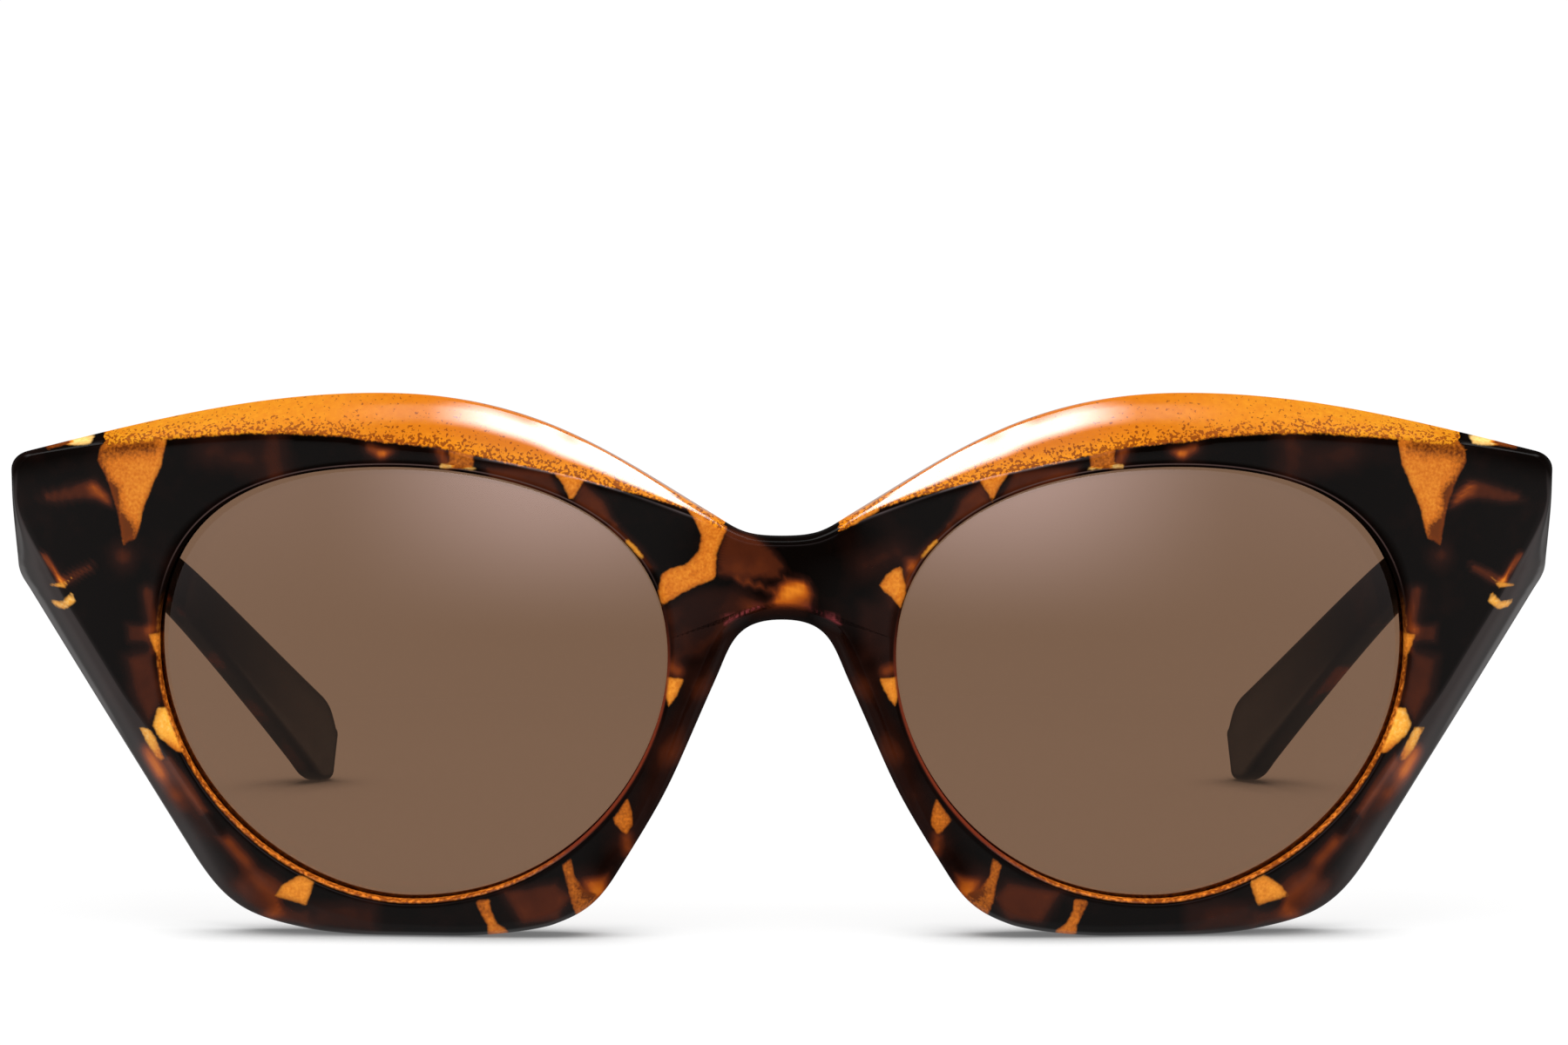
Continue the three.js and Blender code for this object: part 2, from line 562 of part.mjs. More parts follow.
const LENS_SEGMENTS = 48;
const LENS_RINGS = [0.4, 0.75, 1];

function lens() {
  const directions = Array.from({ length: LENS_SEGMENTS }, (_, i) => {
    const angle = (2 * Math.PI * i) / LENS_SEGMENTS;
    return LENS_CENTRE.clone().add(new THREE.Vector2(Math.cos(angle), Math.sin(angle)));
  });
  const loopAt = (share, extra, side) => directions.map((towards) => {
    const spoke = openingTowards(towards).sub(LENS_CENTRE);
    const p = LENS_CENTRE.clone().add(spoke.setLength(spoke.length() * share + extra));
    return new THREE.Vector3(p.x, lensMiddleY(p.x, p.y) + (side * LENS_THICKNESS) / 2, p.y);
  });
  const front = LENS_RINGS.map((share) => loopAt(share, 0, -1));
  const back = LENS_RINGS.map((share) => loopAt(share, 0, 1)).reverse();
  const edge = [loopAt(1, LENS_IN_GROOVE, -1), loopAt(1, LENS_IN_GROOVE, 1)];
  return loft([...front, ...edge, ...back]);
}

// ---- Nose pads ---------------------------------------------------------------------------

const PAD = { bottom: 8.5, top: 25.5, halfWidth: 1.5, depth: 4.6, lean: 0.3, glue: 0.05 };

// A bean-shaped pad glued to the back of the rim beside the nose: a half-round section that
// leans outwards as it goes back, and runs out to nothing at both ends.
function nosePad() {
  const noseSide = OUTLINE.find(({ curve }) => curve.v0?.x === 15.6).curve.getPoints(40);
  const rimEdgeX = (z) => noseSide.reduce((best, p) =>
    (Math.abs(p.y - z) < Math.abs(best.y - z) ? p : best)).x;
  const rows = Array.from({ length: 9 }, (_, i) => {
    const share = 0.04 + (0.92 * i) / 8;
    const fullness = Math.sin(Math.PI * share) ** 0.6;
    const z = PAD.bottom + (PAD.top - PAD.bottom) * share;
    const middle = rimEdgeX(z) + PAD.halfWidth + 0.3;
    return Array.from({ length: 8 }, (_unused, j) => {
      const angle = (Math.PI * j) / 7;
      const back = PAD.depth * fullness * Math.sin(angle);
      const x = middle + PAD.halfWidth * fullness * Math.cos(angle) + (PAD.lean * back) / PAD.depth;
      return new THREE.Vector3(x, rearFaceY(x) + PAD.glue + back, z);
    });
  });
  return loft(rows);
}

// ---- Assembly ----------------------------------------------------------------------------

const tortoise = new THREE.MeshStandardMaterial({ color: 0x3a1c0e, roughness: 0.18 });
const tintedLens = new THREE.MeshStandardMaterial({ color: 0x7b5e4b, roughness: 0.05, opacity: 0.7,
  transparent: true });
const amberPad = new THREE.MeshStandardMaterial({ color: 0x9a5a20, roughness: 0.3 });
const hingeMetal = new THREE.MeshStandardMaterial({ color: 0xb9b4aa, roughness: 0.3, metalness: 1 });
const screwMetal = new THREE.MeshStandardMaterial({ color: 0xcfcac0, roughness: 0.25, metalness: 1 });

// Everything that comes in a left and right pair. The right side is the left one mirrored.
function sideParts(side) {
  const group = new THREE.Group();
  const add = (name, solid, material, place) => {
    const mesh = meshOf(`${name}_${side}`, solid, material);
    if (place) mesh.applyMatrix4(place);
    group.add(mesh);
  };
  add('lens', lens(), tintedLens);
  add('nose_pad', nosePad(), amberPad);
  add('temple', temple(), tortoise);
  add('core_wire', coreWire(0, WIRE.start), hingeMetal);
  add('hinge_front_leaf', frontLeaf(), hingeMetal);
  add('hinge_temple_leaf', templeLeaf(), hingeMetal);
  add('hinge_pivot_screw', pivotScrew(), screwMetal);
  add('front_leaf_screw_upper', leafScrew(), screwMetal, FRONT_SCREW_PLACES[0]);
  add('front_leaf_screw_lower', leafScrew(), screwMetal, FRONT_SCREW_PLACES[1]);
  add('temple_leaf_screw_front', leafScrew(), screwMetal, TEMPLE_SCREW_PLACES[0]);
  add('temple_leaf_screw_rear', leafScrew(), screwMetal, TEMPLE_SCREW_PLACES[1]);
  if (side === 'right') group.scale.x = -1;
  return group;
}

const sunglasses = new THREE.Group();
sunglasses.add(meshOf('frame_front', frameFront(), tortoise), sideParts('left'), sideParts('right'));
sunglasses.position.y = -TOTAL_DEPTH / 2;

export default sunglasses;
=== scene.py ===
import functools
import json
import math

import bmesh
import bpy
import numpy as np
from mathutils import Color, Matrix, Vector


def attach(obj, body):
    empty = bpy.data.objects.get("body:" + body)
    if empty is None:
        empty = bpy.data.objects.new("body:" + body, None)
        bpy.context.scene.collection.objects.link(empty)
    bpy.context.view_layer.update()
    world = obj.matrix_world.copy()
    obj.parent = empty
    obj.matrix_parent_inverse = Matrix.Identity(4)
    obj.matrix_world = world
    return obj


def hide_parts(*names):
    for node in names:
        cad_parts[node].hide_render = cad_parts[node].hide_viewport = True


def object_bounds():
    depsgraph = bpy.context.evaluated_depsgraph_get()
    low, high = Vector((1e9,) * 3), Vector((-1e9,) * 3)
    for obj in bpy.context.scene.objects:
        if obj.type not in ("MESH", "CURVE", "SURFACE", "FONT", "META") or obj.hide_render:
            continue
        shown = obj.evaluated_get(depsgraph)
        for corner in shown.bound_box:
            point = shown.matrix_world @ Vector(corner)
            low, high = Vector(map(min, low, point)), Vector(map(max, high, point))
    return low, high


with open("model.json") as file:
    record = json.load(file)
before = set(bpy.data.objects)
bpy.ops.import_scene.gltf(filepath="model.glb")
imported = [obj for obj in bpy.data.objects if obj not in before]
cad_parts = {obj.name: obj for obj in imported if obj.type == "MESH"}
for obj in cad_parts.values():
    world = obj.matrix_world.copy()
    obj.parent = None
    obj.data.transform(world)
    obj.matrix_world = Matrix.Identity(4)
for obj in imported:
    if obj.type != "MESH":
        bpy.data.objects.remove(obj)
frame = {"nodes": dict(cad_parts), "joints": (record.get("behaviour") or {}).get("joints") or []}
CAD_LOW, CAD_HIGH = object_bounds()

# ---- Driving dimensions, in millimetres --------------------------------------------------

FRONT_BOW_RADIUS = 400.0
FRONT_THICKNESS = 5.0
FRONT_ROUNDING = {"lip": 0.55, "facet": 0.35, "outer": 0.3, "rear": 0.7, "rear_lip": 0.6}
ROUNDING_SHARE = 0.3                # of a face, at most
LIP_DEPTH = 0.5
FACET_CROWN = 0.16
LENS_CENTRE = np.array([34.7, 24.5])
LENS_RADIUS = 130.0
LENS_THICKNESS = 1.9
LENS_SET_BACK = 1.04
LENS_IN_GROOVE = 0.5
LENS_EDGE = ((0.6, 1.0), (0.8, 0.98), (0.94, 0.92), (1.0, 0.8))   # shares of reach and thickness
GROOVE_DEPTH = 0.8
GROOVE_HALF_WIDTH = 1.1
TEMPLE_OUTER_X = 72.65
EAR_BEND_Y = 80.0
TOTAL_DEPTH = 152.2
TIP_INWARD = 15.25
TEMPLE_THICKNESS = {"hinge": 4.4, "bend": 3.8, "tip": 3.1}
TEMPLE_ROUNDING = 1.15
TEMPLE_END_ROUNDING = {"hinge": 0.3, "tip": 0.9}
WIRE_ROOM = {"start": 25, "end": 146.9, "half_width": 0.67, "half_height": 1.32, "taper": 0.4,
             "rounding": 0.2}
END_BLOCK = {"start": 3.2, "half_height": 5.6, "rounding": 0.3}
HALF_JOINT_GAP = 0.15
LEAF_THICKNESS = 1.2
LEAF_PROUD = 0.1
POCKET_CLEARANCE = 0.08
CUTTER_ABOVE = 1.0                  # how far outside the acetate a cutter starts
MOUTH_DEPTH = 0.75                  # where the temple's pocket opens towards the hinge
MOUTH_RANGE = (-3, 2)
FRONT_LEAF = {"x": 63.1, "width": 7.6, "height": 7.0, "screw_x": -2.1, "screw_spacing": 3.8}
TEMPLE_LEAF = {"start": 15.0, "length": 10.2, "height": 6.0, "screws": (3.4, 7.4)}
SCREW_HOLE = {"radius": 0.54, "above": 0.2, "depth": 3.34}
PAD = {"bottom": 8.5, "top": 25.5, "half_width": 1.5, "inset": 0.3, "depth": 4.6, "lean": 0.3,
       "glue": 0.05}
BACKWARD = np.array([0, 1, 0])
SHARP_FROM = 40                     # degrees between faces that meet at a sharp edge
SIDES = ("left", "right")

joints = {joint["child"]: joint for joint in frame["joints"]}
FRONT_Y = CAD_LOW.y
HINGE_Y = (joints["temple_left"]["pos_m"][1] - FRONT_Y) * 1000
HINGE_Z = joints["temple_left"]["pos_m"][2] * 1000


# ---- Small helpers -----------------------------------------------------------------------

def smooth(t):
    """From 0 to 1, eased at both ends."""
    t = np.clip(t, 0, 1)
    return t * t * (3 - 2 * t)


def lengths(v):
    return np.linalg.norm(v, axis=-1)


def unit(v):
    return v / np.maximum(lengths(v)[..., None], 1e-12)


def in_space(points, y):
    """Points (x, z) with a y of their own."""
    return np.stack([points[:, 0], y, points[:, 1]], axis=1)


def on_circle(angles):
    return np.stack([np.cos(angles), np.sin(angles)], axis=1)


def row_points(points):
    """Millimetres in the part's own layout to metres in the frame of the CAD."""
    return np.asarray(points, float) / 1000 + np.array([0, FRONT_Y, 0])


def bend(start, leave, leave_length, end, arrive, arrive_length):
    """Control points of a cubic that leaves and arrives along directions given in degrees."""
    start, end = np.array(start, float), np.array(end, float)
    leave, arrive = math.radians(leave), math.radians(arrive)
    first = start + leave_length * np.array([math.cos(leave), math.sin(leave)])
    last = end - arrive_length * np.array([math.cos(arrive), math.sin(arrive)])
    return start, first, last, end


def straight(start, end):
    start, end = np.array(start, float), np.array(end, float)
    return start, start + (end - start) / 3, end - (end - start) / 3, end


def along(curve, t):
    """Points of a cubic at the shares t."""
    a, b, c, d = curve
    t = np.asarray(t)[:, None]
    return (1 - t) ** 3 * a + 3 * t * (1 - t) ** 2 * b + 3 * t * t * (1 - t) * c + t ** 3 * d


def heading(curve, t):
    """Directions of a cubic at the shares t."""
    a, b, c, d = curve
    t = np.asarray(t)[:, None]
    return unit((1 - t) ** 2 * (b - a) + 2 * t * (1 - t) * (c - b) + t * t * (d - c))


def softened(values, reach):
    """Values along the outline, evened out over a few neighbours on each side."""
    weights = np.exp(-0.5 * np.linspace(-2, 2, 2 * reach + 1) ** 2)
    padded = np.pad(values, reach, mode="reflect")
    return np.convolve(padded, weights / weights.sum(), mode="valid")


def grid_faces(rows, columns, closed_rows=False, skip=None):
    """Quads of a grid whose rows are closed loops. skip(row, column) leaves a quad out."""
    faces = []
    for i in range(rows if closed_rows else rows - 1):
        for j in range(columns):
            if skip is not None and skip(i, j):
                continue
            below, beside = (i + 1) % rows, (j + 1) % columns
            faces.append((i * columns + j, i * columns + beside,
                          below * columns + beside, below * columns + j))
    return faces


def add_object(name, data):
    made = bpy.data.objects.new(name, data)
    bpy.context.scene.collection.objects.link(made)
    return made


def mirrored(points, faces):
    """The same mesh for the other side of x = 0."""
    flipped = np.array(points, float) * np.array([-1, 1, 1])
    return flipped, [face[::-1] for face in faces]


def mesh_object(name, points, faces, side="left"):
    """A smooth-shaded closed mesh, with its normals turned outwards."""
    if side == "right":
        points, faces = mirrored(points, faces)
    mesh = bpy.data.meshes.new(name)
    mesh.from_pydata(row_points(points).tolist(), [], faces)
    shell = bmesh.new()
    shell.from_mesh(mesh)
    bmesh.ops.remove_doubles(shell, verts=shell.verts, dist=2e-7)
    bmesh.ops.recalc_face_normals(shell, faces=shell.faces)
    if shell.calc_volume(signed=True) < 0:
        bmesh.ops.reverse_faces(shell, faces=shell.faces)
    shell.to_mesh(mesh)
    shell.free()
    mesh.shade_smooth()
    return add_object(name, mesh)


def apply_modifiers(piece):
    bpy.context.view_layer.update()
    graph = bpy.context.evaluated_depsgraph_get()
    piece.data = bpy.data.meshes.new_from_object(piece.evaluated_get(graph))
    piece.modifiers.clear()


# ---- Front: surfaces, outline and lens opening -------------------------------------------

def front_face_y(x):
    return x * x / (2 * FRONT_BOW_RADIUS)


def rear_face_y(x):
    return front_face_y(x) + FRONT_THICKNESS


def lens_middle_y(x, z):
    dx, dz = x - LENS_CENTRE[0], z - LENS_CENTRE[1]
    tilt = LENS_CENTRE[0] / FRONT_BOW_RADIUS
    dome = (dx * dx + dz * dz) / (2 * LENS_RADIUS)
    return front_face_y(LENS_CENTRE[0]) + LENS_SET_BACK + tilt * dx + dome


OPENING_CURVES = [
    bend((37, 44.25), 0, 12.6, (58.85, 27.7), -90, 12.4),
    bend((58.85, 27.7), -90, 14.3, (35, 3.45), 180, 10.9),
    bend((35, 3.45), 180, 15.3, (10.7, 26.6), 90, 10.5),
    bend((10.7, 26.6), 90, 14.8, (37, 44.25), 0, 10.0),
]


def opening_table():
    """Bearing from the lens centre and distance to the edge of the lens opening."""
    points = np.vstack([along(curve, np.linspace(0, 1, 200)[1:]) for curve in OPENING_CURVES])
    offset = points - LENS_CENTRE
    bearing = np.arctan2(offset[:, 1], offset[:, 0])
    order = np.argsort(bearing)
    return bearing[order], lengths(offset)[order]


OPENING_BEARING, OPENING_REACH = opening_table()


def opening_towards(points):
    offset = points - LENS_CENTRE
    bearing = np.arctan2(offset[:, 1], offset[:, 0])
    reach = np.interp(bearing, OPENING_BEARING, OPENING_REACH, period=2 * math.pi)
    return LENS_CENTRE + unit(offset) * reach[:, None]


NOSE_SIDE = bend((15.6, 5.9), 122, 10.7, (6.2, 24.3), 114, 11.5)

# Outline of the left half from the top of the bridge round to the nose arch: each curve, the
# step between stations, and [share of the curve, facet width, facet depth]. At its start, a curve
# has the facet that the one before ended with.
FIRST_FACET = (0.6, 0.6)
OUTLINE = [
    (bend((0, 37.7), 0, 3.7, (6.75, 39.9), 31.5, 3.0), 0.4, [(1, 0.8, 0.7)]),
    (bend((6.75, 39.9), 31.5, 11.5, (38, 51.13), 0, 14.2), 0.55,
     [(0.25, 2.6, 1.9), (0.5, 4.2, 2.9), (0.72, 4.9, 3.2), (1, 4.35, 3.1)]),
    (bend((38, 51.13), 0, 11.8, (71.5, 45.6), -14, 11.7), 0.55,
     [(0.5, 2.7, 2.8), (0.75, 1.55, 1.9), (1, 0.65, 0.8)]),
    (bend((71.5, 45.6), -14, 0.9, (73.15, 43.8), -90, 1.0), 0.2, [(1, 0.8, 0.9)]),
    (straight((73.15, 43.8), (72.85, 34.8)), 0.4,
     [(0.3, 0.5, 0.7), (0.5, 1.0, 1.2), (1, 3.85, 3.0)]),
    (bend((72.85, 34.8), -92, 1.2, (71.5, 32.0), -121, 1.2), 0.2,
     [(0.35, 4.2, 3.2), (1, 3.8, 3.0)]),
    (straight((71.5, 32.0), (56.4, 8.0)), 0.5, [(0.4, 3.05, 2.8), (0.65, 3.3, 2.8), (1, 3.4, 2.8)]),
    (bend((56.4, 8.0), -122, 6.5, (45, 0.45), -170, 6.4), 0.4, [(0.45, 4.2, 2.9), (1, 2.5, 1.8)]),
    (bend((45, 0.45), -170, 2.1, (38, 0), 180, 2.3), 0.5, [(1, 1.1, 1.0)]),
    (straight((38, 0), (31, 0)), 0.5, [(1, 0.95, 0.9)]),
    (bend((31, 0), 180, 3.7, (21.5, 1.14), 160, 1.5), 0.5, [(1, 1.05, 1.0)]),
    (bend((21.5, 1.14), 160, 3.0, (15.6, 5.9), 122, 3.3), 0.4, [(0.6, 1.4, 1.3), (1, 1.15, 1.3)]),
    (NOSE_SIDE, 0.5, [(0.15, 0.95, 1.3), (0.6, 1.4, 2.2), (1, 1.9, 3.0)]),
    (bend((6.2, 24.3), 114, 3.2, (0, 29.85), 180, 4.5), 0.35, [(0.6, 1.8, 2.9), (1, 1.2, 2.4)]),
]
SEAM_STATIONS = 8                   # down the middle of the bridge, where the halves join
SEAM_INSET = 0.7


def outline_stations():
    """Outline points, openings, inward directions, facet widths and depths, and seam flags."""
    outer, tangent, width, depth = [], [], [], []
    facet = FIRST_FACET
    for index, (curve, step, keys) in enumerate(OUTLINE):
        length = lengths(np.diff(along(curve, np.linspace(0, 1, 50)), axis=0)).sum()
        count = max(3, math.ceil(length / step))
        t = np.linspace(0, 1, count + 1)
        if index < len(OUTLINE) - 1:
            t = t[:-1]
        shares, widths, depths = np.array([(0, *facet), *keys]).T
        facet = keys[-1][1:]
        outer.append(along(curve, t))
        tangent.append(heading(curve, t))
        width.append(np.interp(t, shares, widths))
        depth.append(np.interp(t, shares, depths))
    outer, tangent = np.vstack(outer), np.vstack(tangent)
    width = softened(np.concatenate(width), 4)
    depth = softened(np.concatenate(depth), 4)
    opening = opening_towards(outer)
    square = np.stack([tangent[:, 1], -tangent[:, 0]], axis=1)
    blend = smooth(outer[:, :1] / 8)
    inward = unit(square * (1 - blend) + unit(opening - outer) * blend)
    outer[[0, -1], 0] = 0
    inward[0] = (0, -1)
    inward[-1] = (0, 1)
    seam_low = outer[-1] + inward[-1] * (width[-1] + SEAM_INSET)
    seam_high = outer[0] + inward[0] * (width[0] + SEAM_INSET)
    seam = seam_low + (seam_high - seam_low) * np.linspace(0, 1, SEAM_STATIONS)[:, None]
    nothing = np.zeros(SEAM_STATIONS)
    return (np.vstack([outer, seam]), np.vstack([opening, opening_towards(seam)]),
            np.vstack([inward, np.zeros((SEAM_STATIONS, 2))]),
            np.concatenate([width, nothing])[:, None], np.concatenate([depth, nothing])[:, None],
            np.arange(len(outer) + SEAM_STATIONS) >= len(outer))


def raised(points, surface, behind=0):
    """Points (x, z) placed on a surface y(x), or a little behind it."""
    return in_space(points, surface(points[:, 0]) + behind)


def fillet(start, corner, end, count):
    """Points of a rounding that leaves and arrives in line with its corner."""
    return [(1 - t) ** 2 * start + 2 * t * (1 - t) * corner + t * t * end
            for t in np.linspace(0, 1, count)]


def between(start, end, count):
    """Evenly spaced points between two ends, without the ends."""
    return [start + (end - start) * t for t in np.linspace(0, 1, count + 2)[1:-1]]


def rim_sections():
    """Sections of the front, one for each station, and the columns absent along the seam."""
    outer, opening, inward, width, depth, seam = outline_stations()
    outward = unit(opening - LENS_CENTRE)
    solid = (~seam)[:, None].astype(float)
    columns = []

    # front face, from the lens opening to the facet's edge
    lip_start = raised(opening, front_face_y, LIP_DEPTH)
    lip_crest = raised(opening + outward * 0.12, front_face_y, 0.05)
    lip_end = opening + outward * FRONT_ROUNDING["lip"]
    columns += fillet(lip_start, lip_crest, raised(lip_end, front_face_y), 5)
    edge = outer + inward * width
    soft = np.minimum(FRONT_ROUNDING["facet"], ROUNDING_SHARE * width) * solid
    edge_start = edge + inward * soft
    columns += [raised(p, front_face_y) for p in between(lip_end, edge_start, 20)]

    # facet, slightly crowned, then the outer wall
    first_wall = len(columns)
    corner = raised(edge, front_face_y)
    rim = raised(outer, front_face_y, depth[:, 0])
    slope = unit(rim - corner)
    length = lengths(rim - corner)[:, None]
    facet_start = corner + slope * soft
    rim_soft = np.minimum(FRONT_ROUNDING["outer"], ROUNDING_SHARE * length) * solid
    facet_end = rim - slope * rim_soft
    columns += fillet(raised(edge_start, front_face_y), corner, facet_start, 4)
    flat_out = in_space(-inward, np.zeros(len(outer)))
    crown = unit(flat_out * depth - BACKWARD * width) * solid
    for t in np.linspace(0, 1, 9)[1:-1]:
        columns.append(facet_start + (facet_end - facet_start) * t
                       + crown * (FACET_CROWN * length * t * (1 - t)))
    behind = rim + BACKWARD * rim_soft
    columns += fillet(facet_end, rim, behind, 4)
    rear = raised(outer, rear_face_y)
    rear_soft = FRONT_ROUNDING["rear"] * solid
    rear_start = rear - BACKWARD * rear_soft
    rear_end = outer + inward * rear_soft
    columns += between(behind, rear_start, 3)
    columns += fillet(rear_start, rear, raised(rear_end, rear_face_y), 6)
    last_wall = len(columns) - 1

    # rear face, rear lip, and the groove that holds the lens
    rear_lip = opening + outward * FRONT_ROUNDING["rear_lip"]
    columns += [raised(p, rear_face_y) for p in between(rear_end, rear_lip, 12)]
    columns += fillet(raised(rear_lip, rear_face_y), raised(opening + outward * 0.1, rear_face_y),
                      raised(opening, rear_face_y, -LIP_DEPTH), 4)
    groove_y = lens_middle_y(*opening.T)
    floor = opening + outward * GROOVE_DEPTH
    for place, side in ((opening, 1), (floor, 1), (floor, -1), (opening, -1)):
        columns.append(in_space(place, groove_y + side * GROOVE_HALF_WIDTH))
    return np.stack(columns, axis=1), seam, range(first_wall, last_wall)


def front_shell():
    sections, seam, wall = rim_sections()
    rows, columns = sections.shape[:2]

    def on_seam(i, j):
        return (seam[i] or seam[(i + 1) % rows]) and j in wall

    points = sections.reshape(-1, 3)
    faces = grid_faces(rows, columns, closed_rows=True, skip=on_seam)
    other, other_faces = mirrored(points, faces)
    shifted = [tuple(v + len(points) for v in face) for face in other_faces]
    return mesh_object("acetate_front", np.vstack([points, other]), faces + shifted)


# ---- Temples, end blocks and their pockets -----------------------------------------------

TEMPLE_START_Y = HINGE_Y + HALF_JOINT_GAP
AT_HINGE = {"top": (TEMPLE_START_Y, 45.2), "bottom": (TEMPLE_START_Y, 34.0)}
AT_BEND = {"top": (90, 32.4), "bottom": (83, 28.3)}
TOP_EDGE = [
    straight(AT_HINGE["top"], AT_BEND["top"]),
    bend(AT_BEND["top"], -8.7, 20.1, (147.9, 10.7), -28.8, 21.8),
    bend((147.9, 10.7), -31, 2.2, (150.8, 6.7), -68, 1.9),
]
BOTTOM_EDGE = [
    straight(AT_HINGE["bottom"], AT_BEND["bottom"]),
    bend(AT_BEND["bottom"], -4.2, 20.6, (143.2, 2.7), -35.6, 18.8),
    bend((143.2, 2.7), -35.6, 2.2, (149.2, 0), 0, 3.2),
]
EDGE_STEPS = (40, 44, 14)


def past_bend(y):
    return np.maximum(0, y - EAR_BEND_Y) / (TOTAL_DEPTH - EAR_BEND_Y)


def temple_thickness(y):
    at_hinge, at_bend, at_tip = TEMPLE_THICKNESS.values()
    share = (y - TEMPLE_START_Y) / (EAR_BEND_Y - TEMPLE_START_Y)
    return np.where(share < 1, at_hinge + (at_bend - at_hinge) * share,
                    at_bend + (at_tip - at_bend) * past_bend(y))


def temple_middle_x(y):
    return TEMPLE_OUTER_X - TIP_INWARD * past_bend(y) ** 2 - temple_thickness(y) / 2


def temple_spans():
    """Upper and lower edge points (y, z) of each section, from the hinge to the tip."""
    edges = []
    for curves in (TOP_EDGE, BOTTOM_EDGE):
        parts = [along(curve, np.linspace(0, 1, steps + 1)[1:])
                 for curve, steps in zip(curves, EDGE_STEPS)]
        edges.append(np.vstack([curves[0][0], *parts]))
    return list(zip(*edges))


def rounded_section(half_width, half_height, radius):
    """Loop of (across, up) round a rectangle with rounded corners."""
    radius = min(radius, half_width, half_height)
    turn = np.linspace(0, math.pi / 2, 6)
    loop = []
    for quarter, (x, y) in enumerate([(1, 1), (-1, 1), (-1, -1), (1, -1)]):
        angle = turn + quarter * math.pi / 2
        centre = np.array([x * (half_width - radius), y * (half_height - radius)])
        loop.append(centre + radius * on_circle(angle))
    filled = []
    for corner, following in zip(loop, loop[1:] + loop[:1]):
        filled += [corner, between(corner[-1], following[0], 4)]
    return np.vstack(filled)


def bent_section(top, bottom, corners):
    """A temple section in space, from its edge points and its (across, up) loop."""
    middle, upward = (top + bottom) / 2, unit(top - bottom)
    at = middle + corners[:, 1:] * upward
    slope = 2 * TIP_INWARD * past_bend(at[:, 0]) / (TOTAL_DEPTH - EAR_BEND_Y)
    side = unit(np.stack([np.ones_like(slope), slope], axis=1))
    x = temple_middle_x(at[:, 0]) + side[:, 0] * corners[:, 0]
    return np.stack([x, at[:, 0] + side[:, 1] * corners[:, 0], np.maximum(at[:, 1], 0)], axis=1)


def rounded_ends(spans, first_radius, last_radius):
    """Spans as (top, bottom, shrink), with both ends rounded off."""
    def ending(span, ahead, radius):
        top, bottom = span
        out = np.array([top[1] - bottom[1], bottom[0] - top[0]])
        out = unit(out) * np.sign(out @ ahead)
        return [(top + out * radius * math.sin(turn), bottom + out * radius * math.sin(turn),
                 radius * (1 - math.cos(turn))) for turn in np.radians([0, 22, 45, 67, 85])]

    first, last = spans[0], spans[-1]
    start = ending(first, first[0] - spans[1][0], first_radius)[::-1]
    set_back = np.array([first_radius, 0])
    start = [(top + set_back, bottom + set_back, shrink) for top, bottom, shrink in start]
    middle = [(top, bottom, 0.0) for top, bottom in spans[1:-1]]
    return start + middle + ending(last, last[0] - spans[-3][0], last_radius)


def bar_mesh(name, sections, side):
    """A closed skin over sections with equally many points, capped at both ends."""
    points, count = np.vstack(sections), len(sections[0])
    faces = grid_faces(len(sections), count)
    faces.append(tuple(range(count)))
    faces.append(tuple(range(len(points) - 1, len(points) - 1 - count, -1)))
    return mesh_object(name, points, faces, side)


def temple_bar(side):
    sections = []
    for top, bottom, shrink in rounded_ends(temple_spans(), *TEMPLE_END_ROUNDING.values()):
        half_width = temple_thickness((top[0] + bottom[0]) / 2) / 2 - shrink
        half_height = lengths(top - bottom) / 2 - shrink
        loop = rounded_section(half_width, half_height, TEMPLE_ROUNDING - shrink * 0.6)
        sections.append(bent_section(top, bottom, loop))
    return bar_mesh(f"acetate_temple_{side}", sections, side)


def wire_channel(side):
    """The room round the core wire, used to cut the temple."""
    room, sections = WIRE_ROOM, []
    inner = [span for span in temple_spans() if room["start"] < span[0][0] < room["end"]]
    for index, (top, bottom) in enumerate(inner):
        half_height = room["half_height"] - room["taper"] * index / len(inner)
        loop = rounded_section(room["half_width"], half_height, room["rounding"])
        sections.append(bent_section(top, bottom, loop))
    return bar_mesh("wire_channel", sections, side)


def end_block(side):
    """The block behind the end piece that the temple butts against."""
    middle_x = temple_middle_x(TEMPLE_START_Y)
    middle_z = (AT_HINGE["top"][1] + AT_HINGE["bottom"][1]) / 2
    rear, rounding = HINGE_Y - HALF_JOINT_GAP, END_BLOCK["rounding"]
    places = [(front_face_y(TEMPLE_OUTER_X) + END_BLOCK["start"], 0.0)]
    places += [(rear - rounding * (1 - math.sin(turn)), rounding * (1 - math.cos(turn)))
               for turn in np.radians([0, 22, 45, 67, 90])]
    sections = []
    for y, shrink in places:
        loop = rounded_section(TEMPLE_THICKNESS["hinge"] / 2 - shrink,
                               END_BLOCK["half_height"] - shrink, TEMPLE_ROUNDING)
        sections.append(np.stack([middle_x + loop[:, 0], np.full(len(loop), y),
                                  middle_z + loop[:, 1]], axis=1))
    return bar_mesh("end_block", sections, side)


def turned(points, axis, angle):
    """Points turned about the x or z axis through the origin."""
    c, s = math.cos(angle), math.sin(angle)
    table = {"x": [[1, 0, 0], [0, c, -s], [0, s, c]], "z": [[c, -s, 0], [s, c, 0], [0, 0, 1]]}
    return np.asarray(points, float) @ np.array(table[axis]).T


